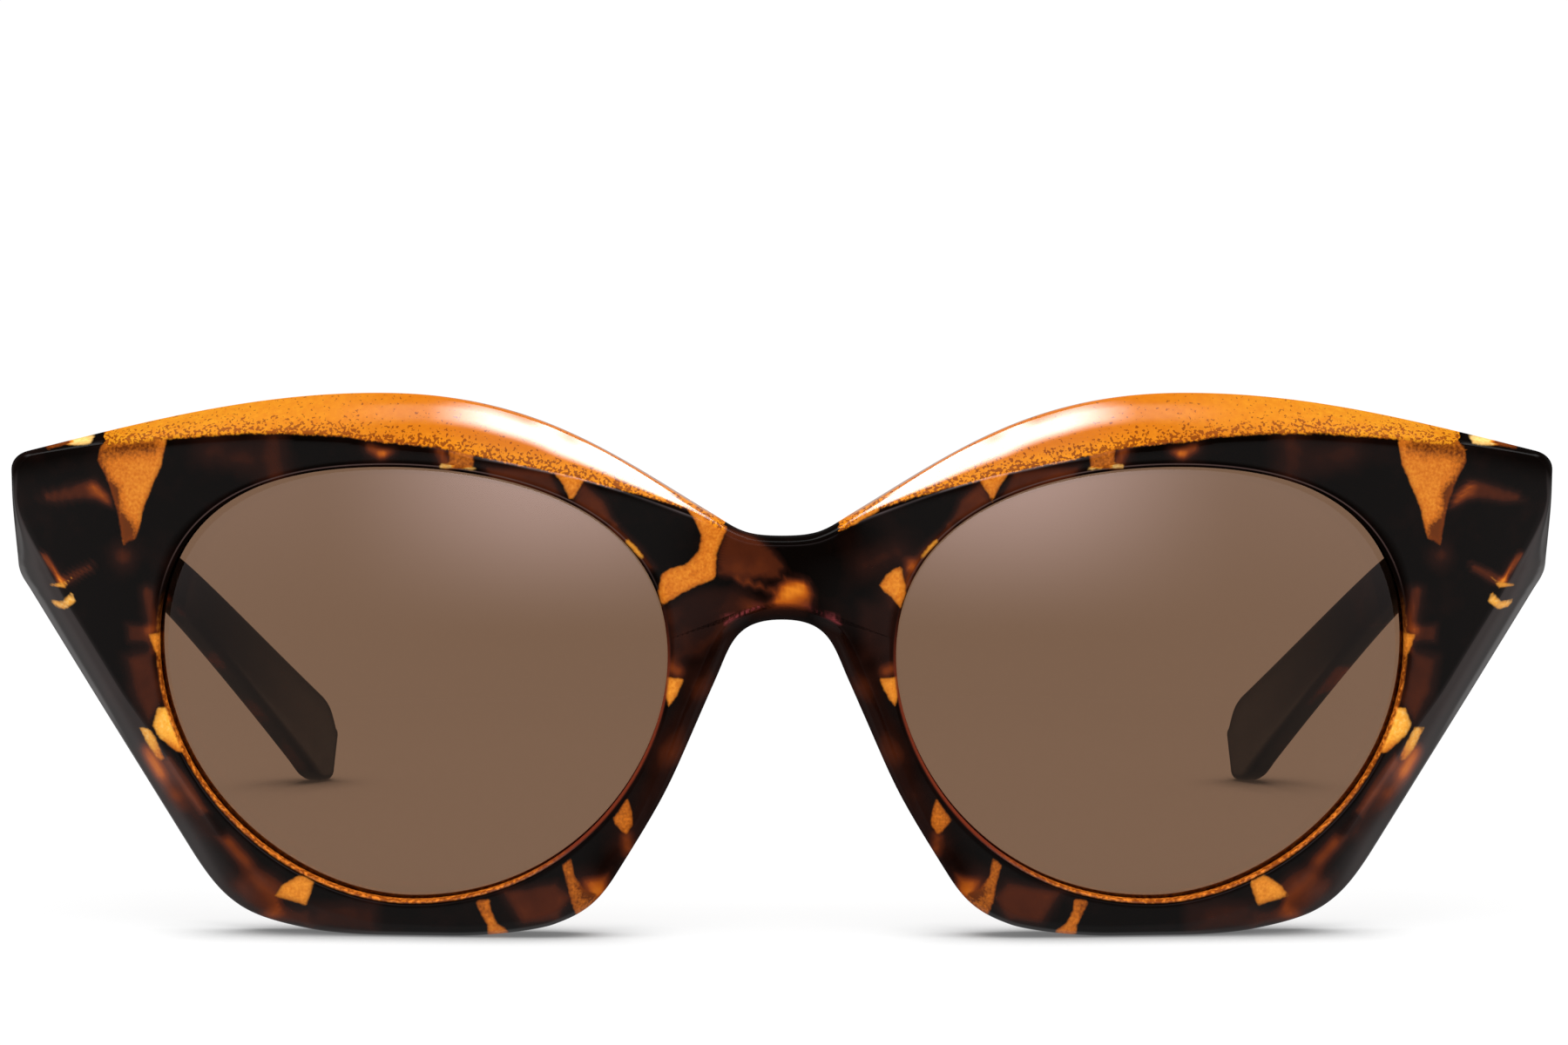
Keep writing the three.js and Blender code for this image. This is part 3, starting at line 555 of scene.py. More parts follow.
def leaf_frame(which):
    """How to place points given in a hinge leaf's own frame."""
    if which == "front":
        origin = np.array([FRONT_LEAF["x"], rear_face_y(FRONT_LEAF["x"]) + LEAF_PROUD, HINGE_Z])
        return lambda points: turned(points, "z", FRONT_LEAF["x"] / FRONT_BOW_RADIUS) + origin
    run, rise = np.sum(list(AT_BEND.values()), axis=0) - np.sum(list(AT_HINGE.values()), axis=0)
    slope = math.atan2(rise, run)
    y = TEMPLE_LEAF["start"]
    inner_x = temple_middle_x(y) - temple_thickness(y) / 2
    return lambda points: turned(points, "x", slope) + np.array([inner_x - LEAF_PROUD, y, HINGE_Z])


def box_cutter(x_range, y_range, half_height, place, side):
    (x1, x2), (y1, y2) = x_range, y_range
    rows = [place([(x1, y1, z), (x2, y1, z), (x2, y2, z), (x1, y2, z)])
            for z in (-half_height, half_height)]
    return bar_mesh("cutter", rows, side)


def hole_cutter(centre, along_axis, place, side):
    """A screw hole: a round bar from the leaf's surface down into the acetate."""
    turn = np.linspace(0, 2 * math.pi, 20, endpoint=False)
    ring = SCREW_HOLE["radius"] * on_circle(turn)
    rows = []
    for depth in (SCREW_HOLE["above"], SCREW_HOLE["depth"]):
        row = np.insert(ring, along_axis, -depth if along_axis == 1 else depth, axis=1)
        rows.append(place(row + np.asarray(centre)))
    return bar_mesh("cutter", rows, side)


def combine(piece, others, operation):
    """Unites a piece with others or cuts them out of it, and removes the others."""
    for other in others:
        change = piece.modifiers.new(operation.lower(), "BOOLEAN")
        change.object, change.operation, change.solver = other, operation, "MANIFOLD"
        apply_modifiers(piece)
        bpy.data.objects.remove(other)
    piece.data.shade_smooth()
    piece.data.set_sharp_from_angle(angle=math.radians(SHARP_FROM))


def front_leaf_cutters(side):
    place, grow = leaf_frame("front"), POCKET_CLEARANCE
    half_width, half_height = FRONT_LEAF["width"] / 2 + grow, FRONT_LEAF["height"] / 2 + grow
    pocket = box_cutter((-half_width, half_width), (-LEAF_THICKNESS - grow, CUTTER_ABOVE),
                        half_height, place, side)
    spacing = FRONT_LEAF["screw_spacing"] / 2
    holes = [hole_cutter((FRONT_LEAF["screw_x"], 0, height), 1, place, side)
             for height in (spacing, -spacing)]
    return [pocket, *holes]


def temple_leaf_cutters(side):
    place, grow = leaf_frame("temple"), POCKET_CLEARANCE
    half_height, length = TEMPLE_LEAF["height"] / 2 + grow, TEMPLE_LEAF["length"] + grow
    pocket = box_cutter((-CUTTER_ABOVE, LEAF_THICKNESS + grow), (-grow, length),
                        half_height, place, side)
    mouth = box_cutter((-CUTTER_ABOVE, MOUTH_DEPTH), MOUTH_RANGE, half_height, place, side)
    holes = [hole_cutter((0, y, 0), 0, place, side) for y in TEMPLE_LEAF["screws"]]
    return [pocket, mouth, *holes, wire_channel(side)]


# ---- Lenses and nose pads ----------------------------------------------------------------

def lens_mesh(side):
    directions = np.linspace(0, 2 * math.pi, 192, endpoint=False)
    spoke = opening_towards(LENS_CENTRE + on_circle(directions)) - LENS_CENTRE

    def loop(share, extra, back):
        place = LENS_CENTRE + spoke * share + unit(spoke) * extra
        return in_space(place, lens_middle_y(*place.T) + back * LENS_THICKNESS / 2)

    shares = np.linspace(0.02, 1, 24)
    rows = [loop(share, 0, -1) for share in shares]
    rows += [loop(1, LENS_IN_GROOVE * reach, -back) for reach, back in LENS_EDGE]
    rows += [loop(1, LENS_IN_GROOVE * reach, back) for reach, back in LENS_EDGE[::-1]]
    rows += [loop(share, 0, 1) for share in shares[::-1]]
    return bar_mesh(f"tinted_lens_{side}", rows, side)


def nose_pad(side):
    """A bean-shaped pad on the back of the rim beside the nose."""
    nose_side = along(NOSE_SIDE, np.linspace(0, 1, 80))
    sections = []
    for share in np.linspace(0.008, 0.992, 41):
        fullness = math.sin(math.pi * share) ** 0.6
        z = PAD["bottom"] + (PAD["top"] - PAD["bottom"]) * share
        middle = np.interp(z, nose_side[:, 1], nose_side[:, 0]) + PAD["half_width"] + PAD["inset"]
        turn = np.linspace(0, math.pi, 22)
        back = PAD["depth"] * fullness * np.sin(turn) ** 0.9
        x = middle + PAD["half_width"] * fullness * np.cos(turn) + PAD["lean"] * back / PAD["depth"]
        arch = np.stack([x, rear_face_y(x) + PAD["glue"] + back, np.full(len(x), z)], axis=1)
        sections.append(np.vstack([arch, between(arch[-1], arch[0], 4)]))
    return bar_mesh(f"nose_pad_bean_{side}", sections, side)


# ---- Looks: node trees -------------------------------------------------------------------

ACETATE_IOR = 1.49
LENS_TINT = (0.452, 0.343, 0.268, 1)
SEEN_WHITE = 1.02


def srgb(red, green, blue):
    """A colour given as sRGB 0 to 255, as the linear values the shaders use."""
    colour = Color((red / 255, green / 255, blue / 255)).from_srgb_to_scene_linear()
    return (*colour, 1.0)


def grey(value):
    return (value, value, value, 1.0)


class Graph:
    """A short way to write node trees."""

    def __init__(self, tree):
        self.tree = tree
        tree.nodes.clear()

    def set(self, socket, value):
        if isinstance(value, bpy.types.NodeSocket):
            self.tree.links.new(value, socket)
        else:
            socket.default_value = value

    def node(self, kind, inputs=None, **settings):
        made = self.tree.nodes.new(kind)
        for name, value in settings.items():
            setattr(made, name, value)
        for name, value in (inputs or {}).items():
            self.set(made.inputs[name], value)
        return made

    def shader(self, kind, inputs=None, output=0, **settings):
        """One output of a new shader node."""
        return self.node("ShaderNode" + kind, inputs, **settings).outputs[output]

    def math(self, operation, a, b=0.0, c=0.0):
        return self.shader("Math", {0: a, 1: b, 2: c}, operation=operation)

    def add(self, *values):
        return functools.reduce(lambda a, b: self.math("ADD", a, b), values)

    def times(self, *values):
        return functools.reduce(lambda a, b: self.math("MULTIPLY", a, b), values)

    def scaled(self, vector, factor):
        return self.shader("VectorMath", {0: vector, 3: factor}, operation="SCALE")

    def vector_sum(self, a, b):
        return self.shader("VectorMath", {0: a, 1: b}, operation="ADD")

    def axes(self, vector):
        return self.node("ShaderNodeSeparateXYZ", {0: vector}).outputs

    def ramp(self, value, low, high, to_low=0.0, to_high=1.0):
        """Smooth step of a value between low and high."""
        limits = dict(enumerate((value, low, high, to_low, to_high)))
        return self.shader("MapRange", limits, interpolation_type="SMOOTHSTEP")

    def mix(self, share, a, b):
        """Colour a at share 0, and colour b at share 1."""
        made = self.node("ShaderNodeMix", data_type="RGBA")
        sockets = {socket.identifier: socket for socket in (*made.inputs, *made.outputs)}
        for name, value in (("Factor_Float", share), ("A_Color", a), ("B_Color", b)):
            self.set(sockets[name], value)
        return sockets["Result_Color"]

    def blend(self, value, stops):
        """Colours at rising values, with straight blends between them."""
        made = self.node("ShaderNodeValToRGB", {"Fac": value})
        points = made.color_ramp.elements
        while len(points) < len(stops):
            points.new(0.5)
        for point, (place, colour) in zip(points, stops):
            point.position = place
            point.color = colour
        return made.outputs["Color"]

    def noise(self, vector, scale, detail=2.0):
        return self.shader("TexNoise", {"Vector": vector, "Scale": scale, "Detail": detail})

    def swing(self, vector, scale, amount):
        """Noise that swings about zero."""
        return self.math("MULTIPLY_ADD", self.noise(vector, scale), 2 * amount, -amount)

    def attribute(self, name):
        return self.shader("Attribute", output="Fac", attribute_name=name)

    def place(self):
        return self.shader("TexCoord", output="Object")

    def shader_mix(self, share, first, second):
        return self.shader("MixShader", {0: share, 1: first, 2: second})

    def acetate(self, colour, roughness, gloss):
        """Polished acetate whose mirroring is scaled by gloss, from 0 to 1."""
        plain = self.shader("BsdfDiffuse", {"Color": colour})
        polished = self.shader("BsdfPrincipled", {"Base Color": colour, "Roughness": roughness,
                                                  "IOR": ACETATE_IOR, "Specular IOR Level": 1.0})
        self.surface(self.shader_mix(gloss, plain, polished))

    def surface(self, shader):
        self.node("ShaderNodeOutputMaterial", {"Surface": shader})


def new_material(name):
    material = bpy.data.materials.new(name)
    material.use_nodes = True
    return material, Graph(material.node_tree)


def finish_with(piece, material):
    piece.data.materials.clear()
    piece.data.materials.append(material)


# ---- Looks: materials --------------------------------------------------------------------

# Places in a node tree are in metres. The fields that paint_front stores are in millimetres.
DARK_ACETATE = [                    # from black, through red-brown, to lit amber
    (0.0, srgb(6, 3, 2)),
    (0.22, srgb(32, 13, 8)),
    (0.42, srgb(72, 30, 14)),
    (0.62, srgb(118, 52, 18)),
    (0.8, srgb(172, 84, 20)),
    (1.0, srgb(214, 122, 32)),
]


def amber_windows_and_glints(g, place, grain):
    """Colour and mask of the amber windows, and of the painted highlights drawn like them."""
    distance = g.add(g.attribute("amber_distance"), g.times(grain, 0.5), g.swing(place, 420.0, 0.12))
    mask = g.ramp(distance, 0.13, -0.13)
    inner = g.ramp(distance, -0.02, -0.5)
    lively = g.add(g.swing(place, 3600.0, 0.32), g.swing(place, 600.0, 0.1))
    tone = g.add(g.attribute("amber_tone"), lively)
    body = g.blend(g.times(tone, 0.75), [(0.0, srgb(96, 44, 12)), (0.3, srgb(200, 108, 28)),
                                         (0.52, srgb(226, 140, 44)), (0.75, srgb(246, 172, 62)),
                                         (1.0, srgb(255, 214, 132))])
    return mask, g.mix(inner, g.mix(0.4, body, srgb(120, 52, 12)), body)


def brow_band(g, place, grain):
    """Colour, mask and roughness of the amber brow above the dark layer."""
    height = g.add(g.attribute("brow_height"), grain)
    mask = g.ramp(height, -0.12, 0.12)
    across = g.math("ABSOLUTE", g.axes(place)[0])
    body = g.mix(g.ramp(across, 0.026, 0.056), srgb(208, 114, 22), srgb(216, 148, 30))
    golden = g.times(g.ramp(height, 1.9, 0.4), g.ramp(across, 0.038, 0.03), 0.8)
    body = g.mix(golden, body, srgb(246, 158, 26))
    tint = g.mix(g.noise(place, 1700.0), srgb(194, 104, 18), body)
    density = g.ramp(height, 2.4, 0.0, 0.0, 0.2)
    speck = g.ramp(g.add(g.noise(place, 3300.0, 1.0), density), 0.66, 0.72)
    colour = g.mix(g.times(speck, 0.8), tint, srgb(116, 46, 12))
    satin = g.ramp(across, 0.034, 0.046, 0.07, 0.42)
    return mask, colour, satin


def painted_lip_highlight(g, place):
    """Colour and mask of a painted highlight: the thin light line round the upper edge of the lens
    opening.
    """
    height = g.axes(place)[2]
    distance = g.attribute("lens_distance")
    line = g.times(g.ramp(distance, 0.2, 0.27), g.ramp(distance, 0.4, 0.3))
    return g.times(line, g.ramp(height, 0.03, 0.04), 0.6), srgb(96, 76, 72)


def painted_lower_lip_light(g, place):
    """Colour and mask of the amber line that the rim's inner wall draws under the lens: the amber of
    the acetate, with painted light where the wall is lit from above and painted glints.
    """
    axes = g.axes(place)
    near = g.ramp(g.attribute("lens_distance"), 0.36, 0.1)
    low = g.ramp(axes[2], 0.033, 0.021)
    nasal = g.ramp(g.math("ABSOLUTE", axes[0]), 0.027, 0.019)
    # painted glints along the lit amber line
    painted_glints = g.ramp(g.noise(place, 2600.0), 0.4, 0.7)
    amber = g.mix(painted_glints, srgb(134, 62, 14), srgb(226, 128, 40))
    return g.times(near, low), g.mix(nasal, amber, srgb(112, 46, 28))


def tortoise_material():
    """Tortoiseshell acetate of the front, painted by the attributes that paint_front stores, with
    painted highlights and painted light on the lens lips, side ridge and nose arch.
    """
    material, g = new_material("tortoise_acetate")
    place = g.place()
    grain = g.swing(place, 2400.0, 0.2)
    cloud = g.add(g.swing(place, 210.0, 0.12), g.swing(place, 700.0, 0.05))
    # glows and clouds of the dark layer, with a painted highlight along the side facet's ridge
    colour = g.blend(g.add(g.attribute("ember_and_painted_ridge"), cloud), DARK_ACETATE)
    # painted highlight on the upper lip, amber windows with painted highlights, and painted light on
    # the lower lip
    for mask, layer in (painted_lip_highlight(g, place), amber_windows_and_glints(g, place, grain), painted_lower_lip_light(g, place)):
        colour = g.mix(mask, colour, layer)
    # painted highlights along the edge of the nose arch
    colour = g.mix(g.times(g.attribute("painted_arch_highlight"), 0.8), colour, srgb(140, 58, 62))
    mask, band, satin = brow_band(g, place, grain)
    colour = g.mix(mask, colour, band)
    roughness = g.math("MULTIPLY_ADD", mask, g.math("SUBTRACT", satin, 0.07), 0.07)
    g.acetate(colour, roughness, g.attribute("gloss"))
    return material


def temple_material():
    """The same acetate on the temples: dark inside, with amber and brown clouds outside."""
    material, g = new_material("temple_acetate")
    place = g.place()
    x, y = g.axes(place)[:2]
    normal = g.shader("NewGeometry", output="Normal")
    outward = g.times(g.axes(normal)[0], g.math("SIGN", x))
    show = g.ramp(outward, -0.5, 0.3, 0.22, 1.0)
    forward = g.ramp(y, 0.072, 0.02, 0.35, 1.0)
    stretched = g.shader("Mapping", {"Vector": place, "Scale": (1.0, 0.6, 1.0)})
    wander = g.shader("TexNoise", {"Vector": place, "Scale": 160.0}, "Color")
    bent = g.vector_sum(stretched, g.scaled(wander, 0.004))
    cloud = g.add(g.noise(bent, 115.0), g.swing(place, 1500.0, 0.03))
    glow = g.times(g.ramp(cloud, 0.47, 0.68), forward, show)
    colour = g.blend(g.add(glow, 0.04), DARK_ACETATE)
    polish = g.ramp(g.noise(place, 260.0), 0.3, 0.7, 0.16, 0.24)
    inner_face = g.add(g.ramp(y, 0.0, 0.02, 0.25, 0.09), g.ramp(y, 0.03, 0.065, 0.0, 0.6))
    g.acetate(colour, polish, g.ramp(outward, -0.3, 0.5, inner_face, 0.45))
    return material


def pad_material():
    """Clear amber acetate of the nose pads."""
    material, g = new_material("amber_acetate")
    place = g.place()
    colour = g.mix(g.ramp(g.noise(place, 380.0), 0.3, 0.7), srgb(120, 58, 18), srgb(196, 112, 40))
    g.surface(g.shader("BsdfPrincipled", {"Base Color": colour, "Roughness": 0.14,
                                          "IOR": ACETATE_IOR, "Subsurface Weight": 0.3,
                                          "Subsurface Scale": 0.002}))
    return material


def lens_material():
    """A brown filter that mirrors 4 percent of the light face on, and all of it edge on."""
    material, g = new_material("tinted_lens")
    through = g.shader("BsdfTransparent", {"Color": LENS_TINT})
    shine = g.shader("BsdfGlossy", {"Color": grey(1.0), "Roughness": 0.02})
    edge_on = g.shader("LayerWeight", {"Blend": 0.5}, "Facing")
    mirror = g.math("MULTIPLY_ADD", g.math("POWER", edge_on, 5.0), 0.96, 0.04)
    g.surface(g.shader_mix(mirror, through, shine))
    return material


def metal_material(name, colour, roughness):
    """Metal with fine scratches that darken and roughen it."""
    material, g = new_material(name)
    scratch = g.noise(g.place(), 4000.0, 3.0)
    worn = g.ramp(scratch, 0.2, 0.8, roughness * 0.7, roughness * 1.3)
    shade = g.mix(scratch, tuple(c * 0.85 for c in colour[:3]) + (1,), colour)
    g.surface(g.shader("BsdfPrincipled", {"Base Color": shade, "Metallic": 1.0, "Roughness": worn}))
    return material


# ---- Tortoiseshell pattern and painted highlights ----------------------------------------

# Everything is given for one half as (|x|, z) and mirrored, except at the bridge, whose points
# carry their own sign. The amber brow lies above BROW_LINE.
BROW_LINE = [(0, 37.1), (4.5, 38), (6.2, 38.7), (7.5, 39.8), (8.9, 40.4), (13.1, 41.7),
             (17.8, 42.9), (22.7, 44.1), (26.7, 44.9), (32, 46.1), (38.6, 46.7), (40.8, 47.1),
             (46, 47.35), (50.5, 47.35), (55.2, 47), (58, 46.8), (61.1, 46.4), (63.9, 46.2),
             (64.5, 48.5), (73, 49)]
BROW_START_X = 5.2
SATIN_BROW_X = 26                   # from here outwards the brow loses its shine
BROW_END_X = 64

# Amber windows in the dark layer, and three painted highlights drawn like them: brightness, where
# 0 is brown and 1.3 nearly white, then the corners of the outline.
AMBER_WINDOWS_AND_GLINTS = [
    (0.5, [(64.4, 45.9), (63.6, 46.9), (57.9, 47.1), (58.5, 44.4), (59.4, 42.3), (60.2, 40.4),
           (60.6, 38.6), (61, 37.4), (62.2, 36.8), (62.4, 38.3), (62.7, 40), (63.2, 41.6),
           (63.8, 43.2), (64.6, 44.7)]),
    (0, [(67.2, 46.4), (69.4, 45.8), (69.9, 46.1), (68.2, 46.8), (67.2, 47.1)]),
    # painted glint on the top edge of the end piece
    (1.3, [(65.3, 46.3), (67.3, 46.2), (67.7, 46.6), (66.4, 47.2), (65, 47.1)]),
    (0.9, [(69.5, 32.9), (67.6, 33.3), (67, 33.9), (67.9, 32.7)]),
    (1.05, [(69.5, 31.5), (68.1, 31.3), (67.2, 32.3), (66.8, 31.4), (67.9, 30.6), (69, 30.9)]),
    # painted highlight along the upper lip of the lens opening
    (1.2, [(32, 44.5), (30.3, 44.55), (28.6, 44.2), (28.6, 43.95), (30.3, 44.2), (32, 44.2)]),
    # painted highlight on the lens lip beside the bridge
    (0.9, [(14.5, 37.6), (13.7, 36.9), (12.9, 35.9), (13.15, 35.75), (13.95, 36.6), (14.6, 37.35)]),
    (0.6, [(59.8, 28.3), (58.6, 28.5), (58.6, 26), (59.2, 26.8)]),
    (1, [(58.9, 21.4), (57.3, 21.5), (56.4, 19.4), (55.7, 17.2), (57.1, 17.2), (58.9, 18.7),
           (59.5, 19.8)]),
    (1, [(60.8, 19.5), (59.8, 19.5), (59.1, 18.2), (58.4, 16.6), (58.9, 16.3), (60, 17.8)]),
    (0.65, [(47.8, 3.7), (47.1, 4.7), (46, 5.4), (45.4, 5.7), (44.1, 5.1), (44.5, 3.9), (44.9, 2.8),
           (45.7, 3.1)]),
    (0.45, [(28.8, 3.5), (27.5, 3.6), (27.4, 2.6), (26.8, 1.4), (25.8, 0.6), (25.7, -1), (27.7, -1),
            (27.7, 1.2), (28.2, 2.1)]),
    (0.2, [(20.6, 6.9), (19.8, 7.5), (19.5, 5.9), (18.6, 4.7), (17.5, 4.2), (17.4, 3.5), (18.2, 2.4),
           (19.3, 2), (19.7, 3.2), (20.1, 5)]),
    (0.3, [(15.9, 11.2), (14.5, 13.1), (14.1, 12), (14, 10.8), (14.6, 9.8), (15.1, 10.2)]),
    (0.6, [(10.8, 24.6), (9.2, 24.5), (9.5, 23.6), (10.1, 22.5), (10.6, 21.9), (10.9, 23)]),
    (0.5, [(21.5, 44.1), (18.4, 43.3), (19, 42.2), (19.7, 41), (20.5, 42.8)]),
    (0.2, [(31.2, 46.2), (28.8, 45.8), (28.9, 44.1), (31, 44.2)]),
]
BRIDGE_WINDOWS = [
    (0.45, [(-9.1, 40.9), (-7, 39.7), (-5.1, 38.7), (-5.6, 37.6), (-6.1, 36.2), (-6.2, 33.9),
            (-8, 33.2), (-9.4, 32.5), (-10.5, 31.8), (-11.3, 31.2), (-11.6, 32.7), (-11.2, 34.3),
            (-10.3, 34.8), (-8.9, 35.2), (-7.8, 36.4), (-7.5, 38), (-8.2, 39.5)]),
    (0.5, [(9.05, 33.1), (9.8, 34.2), (10.5, 34.8), (11.2, 35), (11.4, 33.5), (11.7, 33),
           (11.1, 31.1), (10.5, 31.9), (9.5, 32.7)]),
    (0.6, [(5.2, 38.6), (9.2, 41), (9.2, 40.3), (8, 39.7), (6.7, 38.9)]),
]

# Shadows over the amber: two ends, reach and how much darker.
AMBER_SHADES = [
    (63.8, 45.7, 59.4, 46.2, 0.9, 0.42), (65, 44.6, 63.4, 41.8, 0.9, 0.5),
    (63.4, 41.8, 62.4, 38.6, 0.7, 0.55), (62.2, 38.6, 61.8, 37.2, 0.7, 0.5),
    (57.9, 17.3, 56.2, 16.6, 1, 0.6), (61.4, 38.2, 61.4, 37, 0.8, 0.3),
    (18, 4.6, 16.8, 5, 1, 0.35), (28.4, 3.2, 28.2, 2.4, 0.8, 0.3),
    (59, 16.8, 58.6, 16.2, 0.7, 0.4),
]

# Brown clouds inside the dark layer: strength, softness of the edge, and the outline.
CLOUDS = [
    (0.4, 1, [(70.2, 40.9), (69.8, 41.7), (66.5, 42.7), (65, 42.9), (63.7, 41.6), (63, 40.1),
                (64.4, 41), (66, 41.1), (68.5, 40.7)]),
    (0.45, 0.8, [(69, 33.2), (67, 34.4), (64.9, 35.3), (65.2, 34.3), (67.4, 33)]),
    (0.38, 1.2, [(27.9, 44.4), (27.4, 43), (23.5, 41.8), (20.2, 41.2), (21.6, 44)]),
    (0.42, 1.2, [(18.8, 43.2), (19.6, 41), (17.2, 39.2), (15.6, 39), (16.6, 41.2)]),
    (0.45, 1.2, [(15.6, 39), (13.3, 36.8), (11.9, 34.9), (12.4, 34.6), (14.2, 36.6), (16.4, 38.6)]),
    (0.4, 1.5, [(53.6, 9.2), (50.4, 5.2), (47.6, 2.6), (46.6, 4.8), (49.4, 6.6), (52.2, 9.6)]),
    (0.32, 1.4, [(47.5, 2.6), (44.6, 2.4), (44.4, 0.4), (49.5, 1.5)]),
    (0.4, 1.5, [(26.4, 4.4), (24.4, 1.2), (21, 1.6), (20, 3.8), (21.2, 5.4)]),
    (0.24, 1.6, [(44.4, 3.2), (38, 3.2), (38, 0), (44.4, 0.4)]),
    (0.45, 1.2, [(18.4, 5.4), (16.2, 6.2), (16.6, 4), (17.8, 3.4)]),
    (0.36, 0.8, [(57.9, 17.2), (56, 14.8), (54, 11.6), (54.9, 11.4), (57.2, 14.4), (58.4, 16.4)]),
    (0.36, 1.8, [(62, 26.2), (59.4, 27), (58.3, 22), (59.8, 19.9), (61.4, 22.6)]),
    (0.32, 1, [(62, 29.4), (59.8, 29.2), (59.8, 27.6), (61.8, 27.6)]),
]
BRIDGE_CLOUDS = [
    (0.2, 1, [(-3.8, 31.6), (-0.6, 32), (2.4, 31.5), (2.2, 30.4), (-2.8, 30.4)]),
    (0.42, 0.9, [(-5.3, 38.7), (-2.6, 37.9), (-0.8, 36.6), (0.4, 35), (-0.4, 33.9), (-3, 33.9),
                 (-6.1, 34.1), (-6, 36.4)]),
    (0.24, 1.2, [(-11.2, 31), (-7.6, 33), (-4.4, 33), (-1.6, 31.6), (-4.6, 29.6), (-7.4, 26.6),
                 (-10.4, 26)]),
    (0.2, 1.6, [(7.4, 31.6), (11, 31.6), (10.4, 26.6), (7.6, 26.4)]),
    (0.62, 1.2, [(-0.9, 31.4), (-0.7, 32.8), (0.3, 33.9), (2.4, 33.7), (3, 32.4), (2.6, 31.2)]),
]

# Soft glows inside the dark layer, and one painted highlight along the side facet's ridge: two ends,
# reach and strength.
GLOWS_AND_PAINTED_RIDGE = [
    (64.9, 42.2, 63.8, 41.2, 0.7, 0.3), (62.2, 35.8, 62.2, 35.8, 1.2, 0.34),
    # (69.9, 35.8) to (68.1, 33.1): painted highlight along the side facet's ridge
    (69.9, 35.8, 68.1, 33.1, 0.3, 0.75), (47.8, 46.8, 47.6, 43.5, 1.5, 0.28),
    (53.5, 45.6, 50.5, 45, 1.6, 0.25), (38.6, 46, 37.6, 45.5, 0.65, 0.55),
    (37.4, 45.5, 36.6, 45.7, 0.5, 0.4), (32, 45.8, 31.4, 44.4, 0.7, 0.55),
    (10.2, 25.4, 9.8, 25.2, 0.8, 0.55), (59.9, 32.4, 59.3, 29, 0.7, 0.45),
    (59.7, 28.6, 59.2, 27, 0.5, 0.3), (18.4, 4.8, 17.6, 4.2, 1.6, 0.4),
    (52, 8.6, 50.6, 7.2, 0.8, 0.15), (14.6, 9.6, 14.4, 8.2, 0.6, 0.35),
    (59.8, 17.2, 57.6, 13.4, 1.1, 0.32), (56.4, 12.8, 54.4, 9.8, 1, 0.22),
    (50.6, 4.6, 48, 2.4, 1.2, 0.24), (60.2, 17.2, 59, 15.2, 0.9, 0.38),
    (14.6, 8.6, 10.2, 17.6, 1.7, 0.2), (10.2, 17.6, 7.6, 23.4, 1.6, 0.2),
    (7.6, 23.4, 4.8, 28.6, 1.3, 0.16), (51.8, 4.6, 48.6, 2, 1.4, 0.24),
    (59.8, 16.2, 57, 11.8, 1, 0.2),
]
BRIDGE_GLOWS = [
    (-4, 33.7, -1.2, 32.9, 0.3, 0.55), (0.6, 32.7, 1.7, 33, 0.8, 0.4),
    (10.4, 32.4, 10.6, 32.6, 1.2, 0.3), (12, 35.4, 11.8, 33.4, 0.6, 0.45),
    (8, 35.2, 10.6, 36.4, 1.4, 0.24),
]

# Places that hardly mirror the studio, given like the glows. The edges of the lens openings are
# added to them.
DULL = [
    (16.5, 2, 15, 6, 2, 1), (15, 6, 9, 17, 3, 1),
    (9, 17, 5.8, 25, 3.4, 1), (5.8, 25, 0, 30.2, 3.4, 1),
    (0, 37.4, 5, 38.6, 2, 1), (63.8, 47.4, 73.5, 45.2, 2.2, 1.2),
    (73.2, 44, 73, 36, 0.8, 0.6), (0, 34, 6, 36, 4, 0.7),
    (57.2, 13.2, 48, 3, 1.3, 0.7),
]

# Painted highlights: thin reddish lines along the edge of the nose arch.
PAINTED_ARCH_HIGHLIGHTS = [(5.2, 29.75, 3.4, 30.8, 0.13, 0.8), (3.4, 30.8, 2.1, 31.25, 0.13, 0.8)]


def outline_distance(points, outline):
    """Signed distance from each (x, z) to a closed outline, negative inside."""
    outline = np.array(outline, float)
    nearest = np.full(len(points), 1e9)
    inside = np.zeros(len(points), bool)
    for a, b in zip(outline, np.roll(outline, -1, axis=0)):
        nearest = np.minimum(nearest, segment_distance(points, a, b))
        rises = (a[1] > points[:, 1]) != (b[1] > points[:, 1])
        run = b - a
        crossing = a[0] + (points[:, 1] - a[1]) / np.where(run[1] == 0, 1e-9, run[1]) * run[0]
        inside ^= rises & (points[:, 0] < crossing)
    return np.where(inside, -nearest, nearest)


def segment_distance(points, a, b):
    run = b - a
    share = np.clip(((points - a) @ run) / max(run @ run, 1e-9), 0, 1)
    return lengths(points - a - share[:, None] * run)


def glow_over(points, glows):
    """Sum of soft glows, each a line with a reach and a strength."""
    total = np.zeros(len(points))
    for x1, z1, x2, z2, reach, strength in glows:
        distance = segment_distance(points, np.array([x1, z1]), np.array([x2, z2]))
        total += strength * np.exp(-(distance / reach) ** 2)
    return total


def clouds_over(points, clouds):
    """Sum of soft-edged patches."""
    total = np.zeros(len(points))
    for strength, softness, outline in clouds:
        total += strength * smooth(0.5 - outline_distance(points, outline) / softness)
    return total


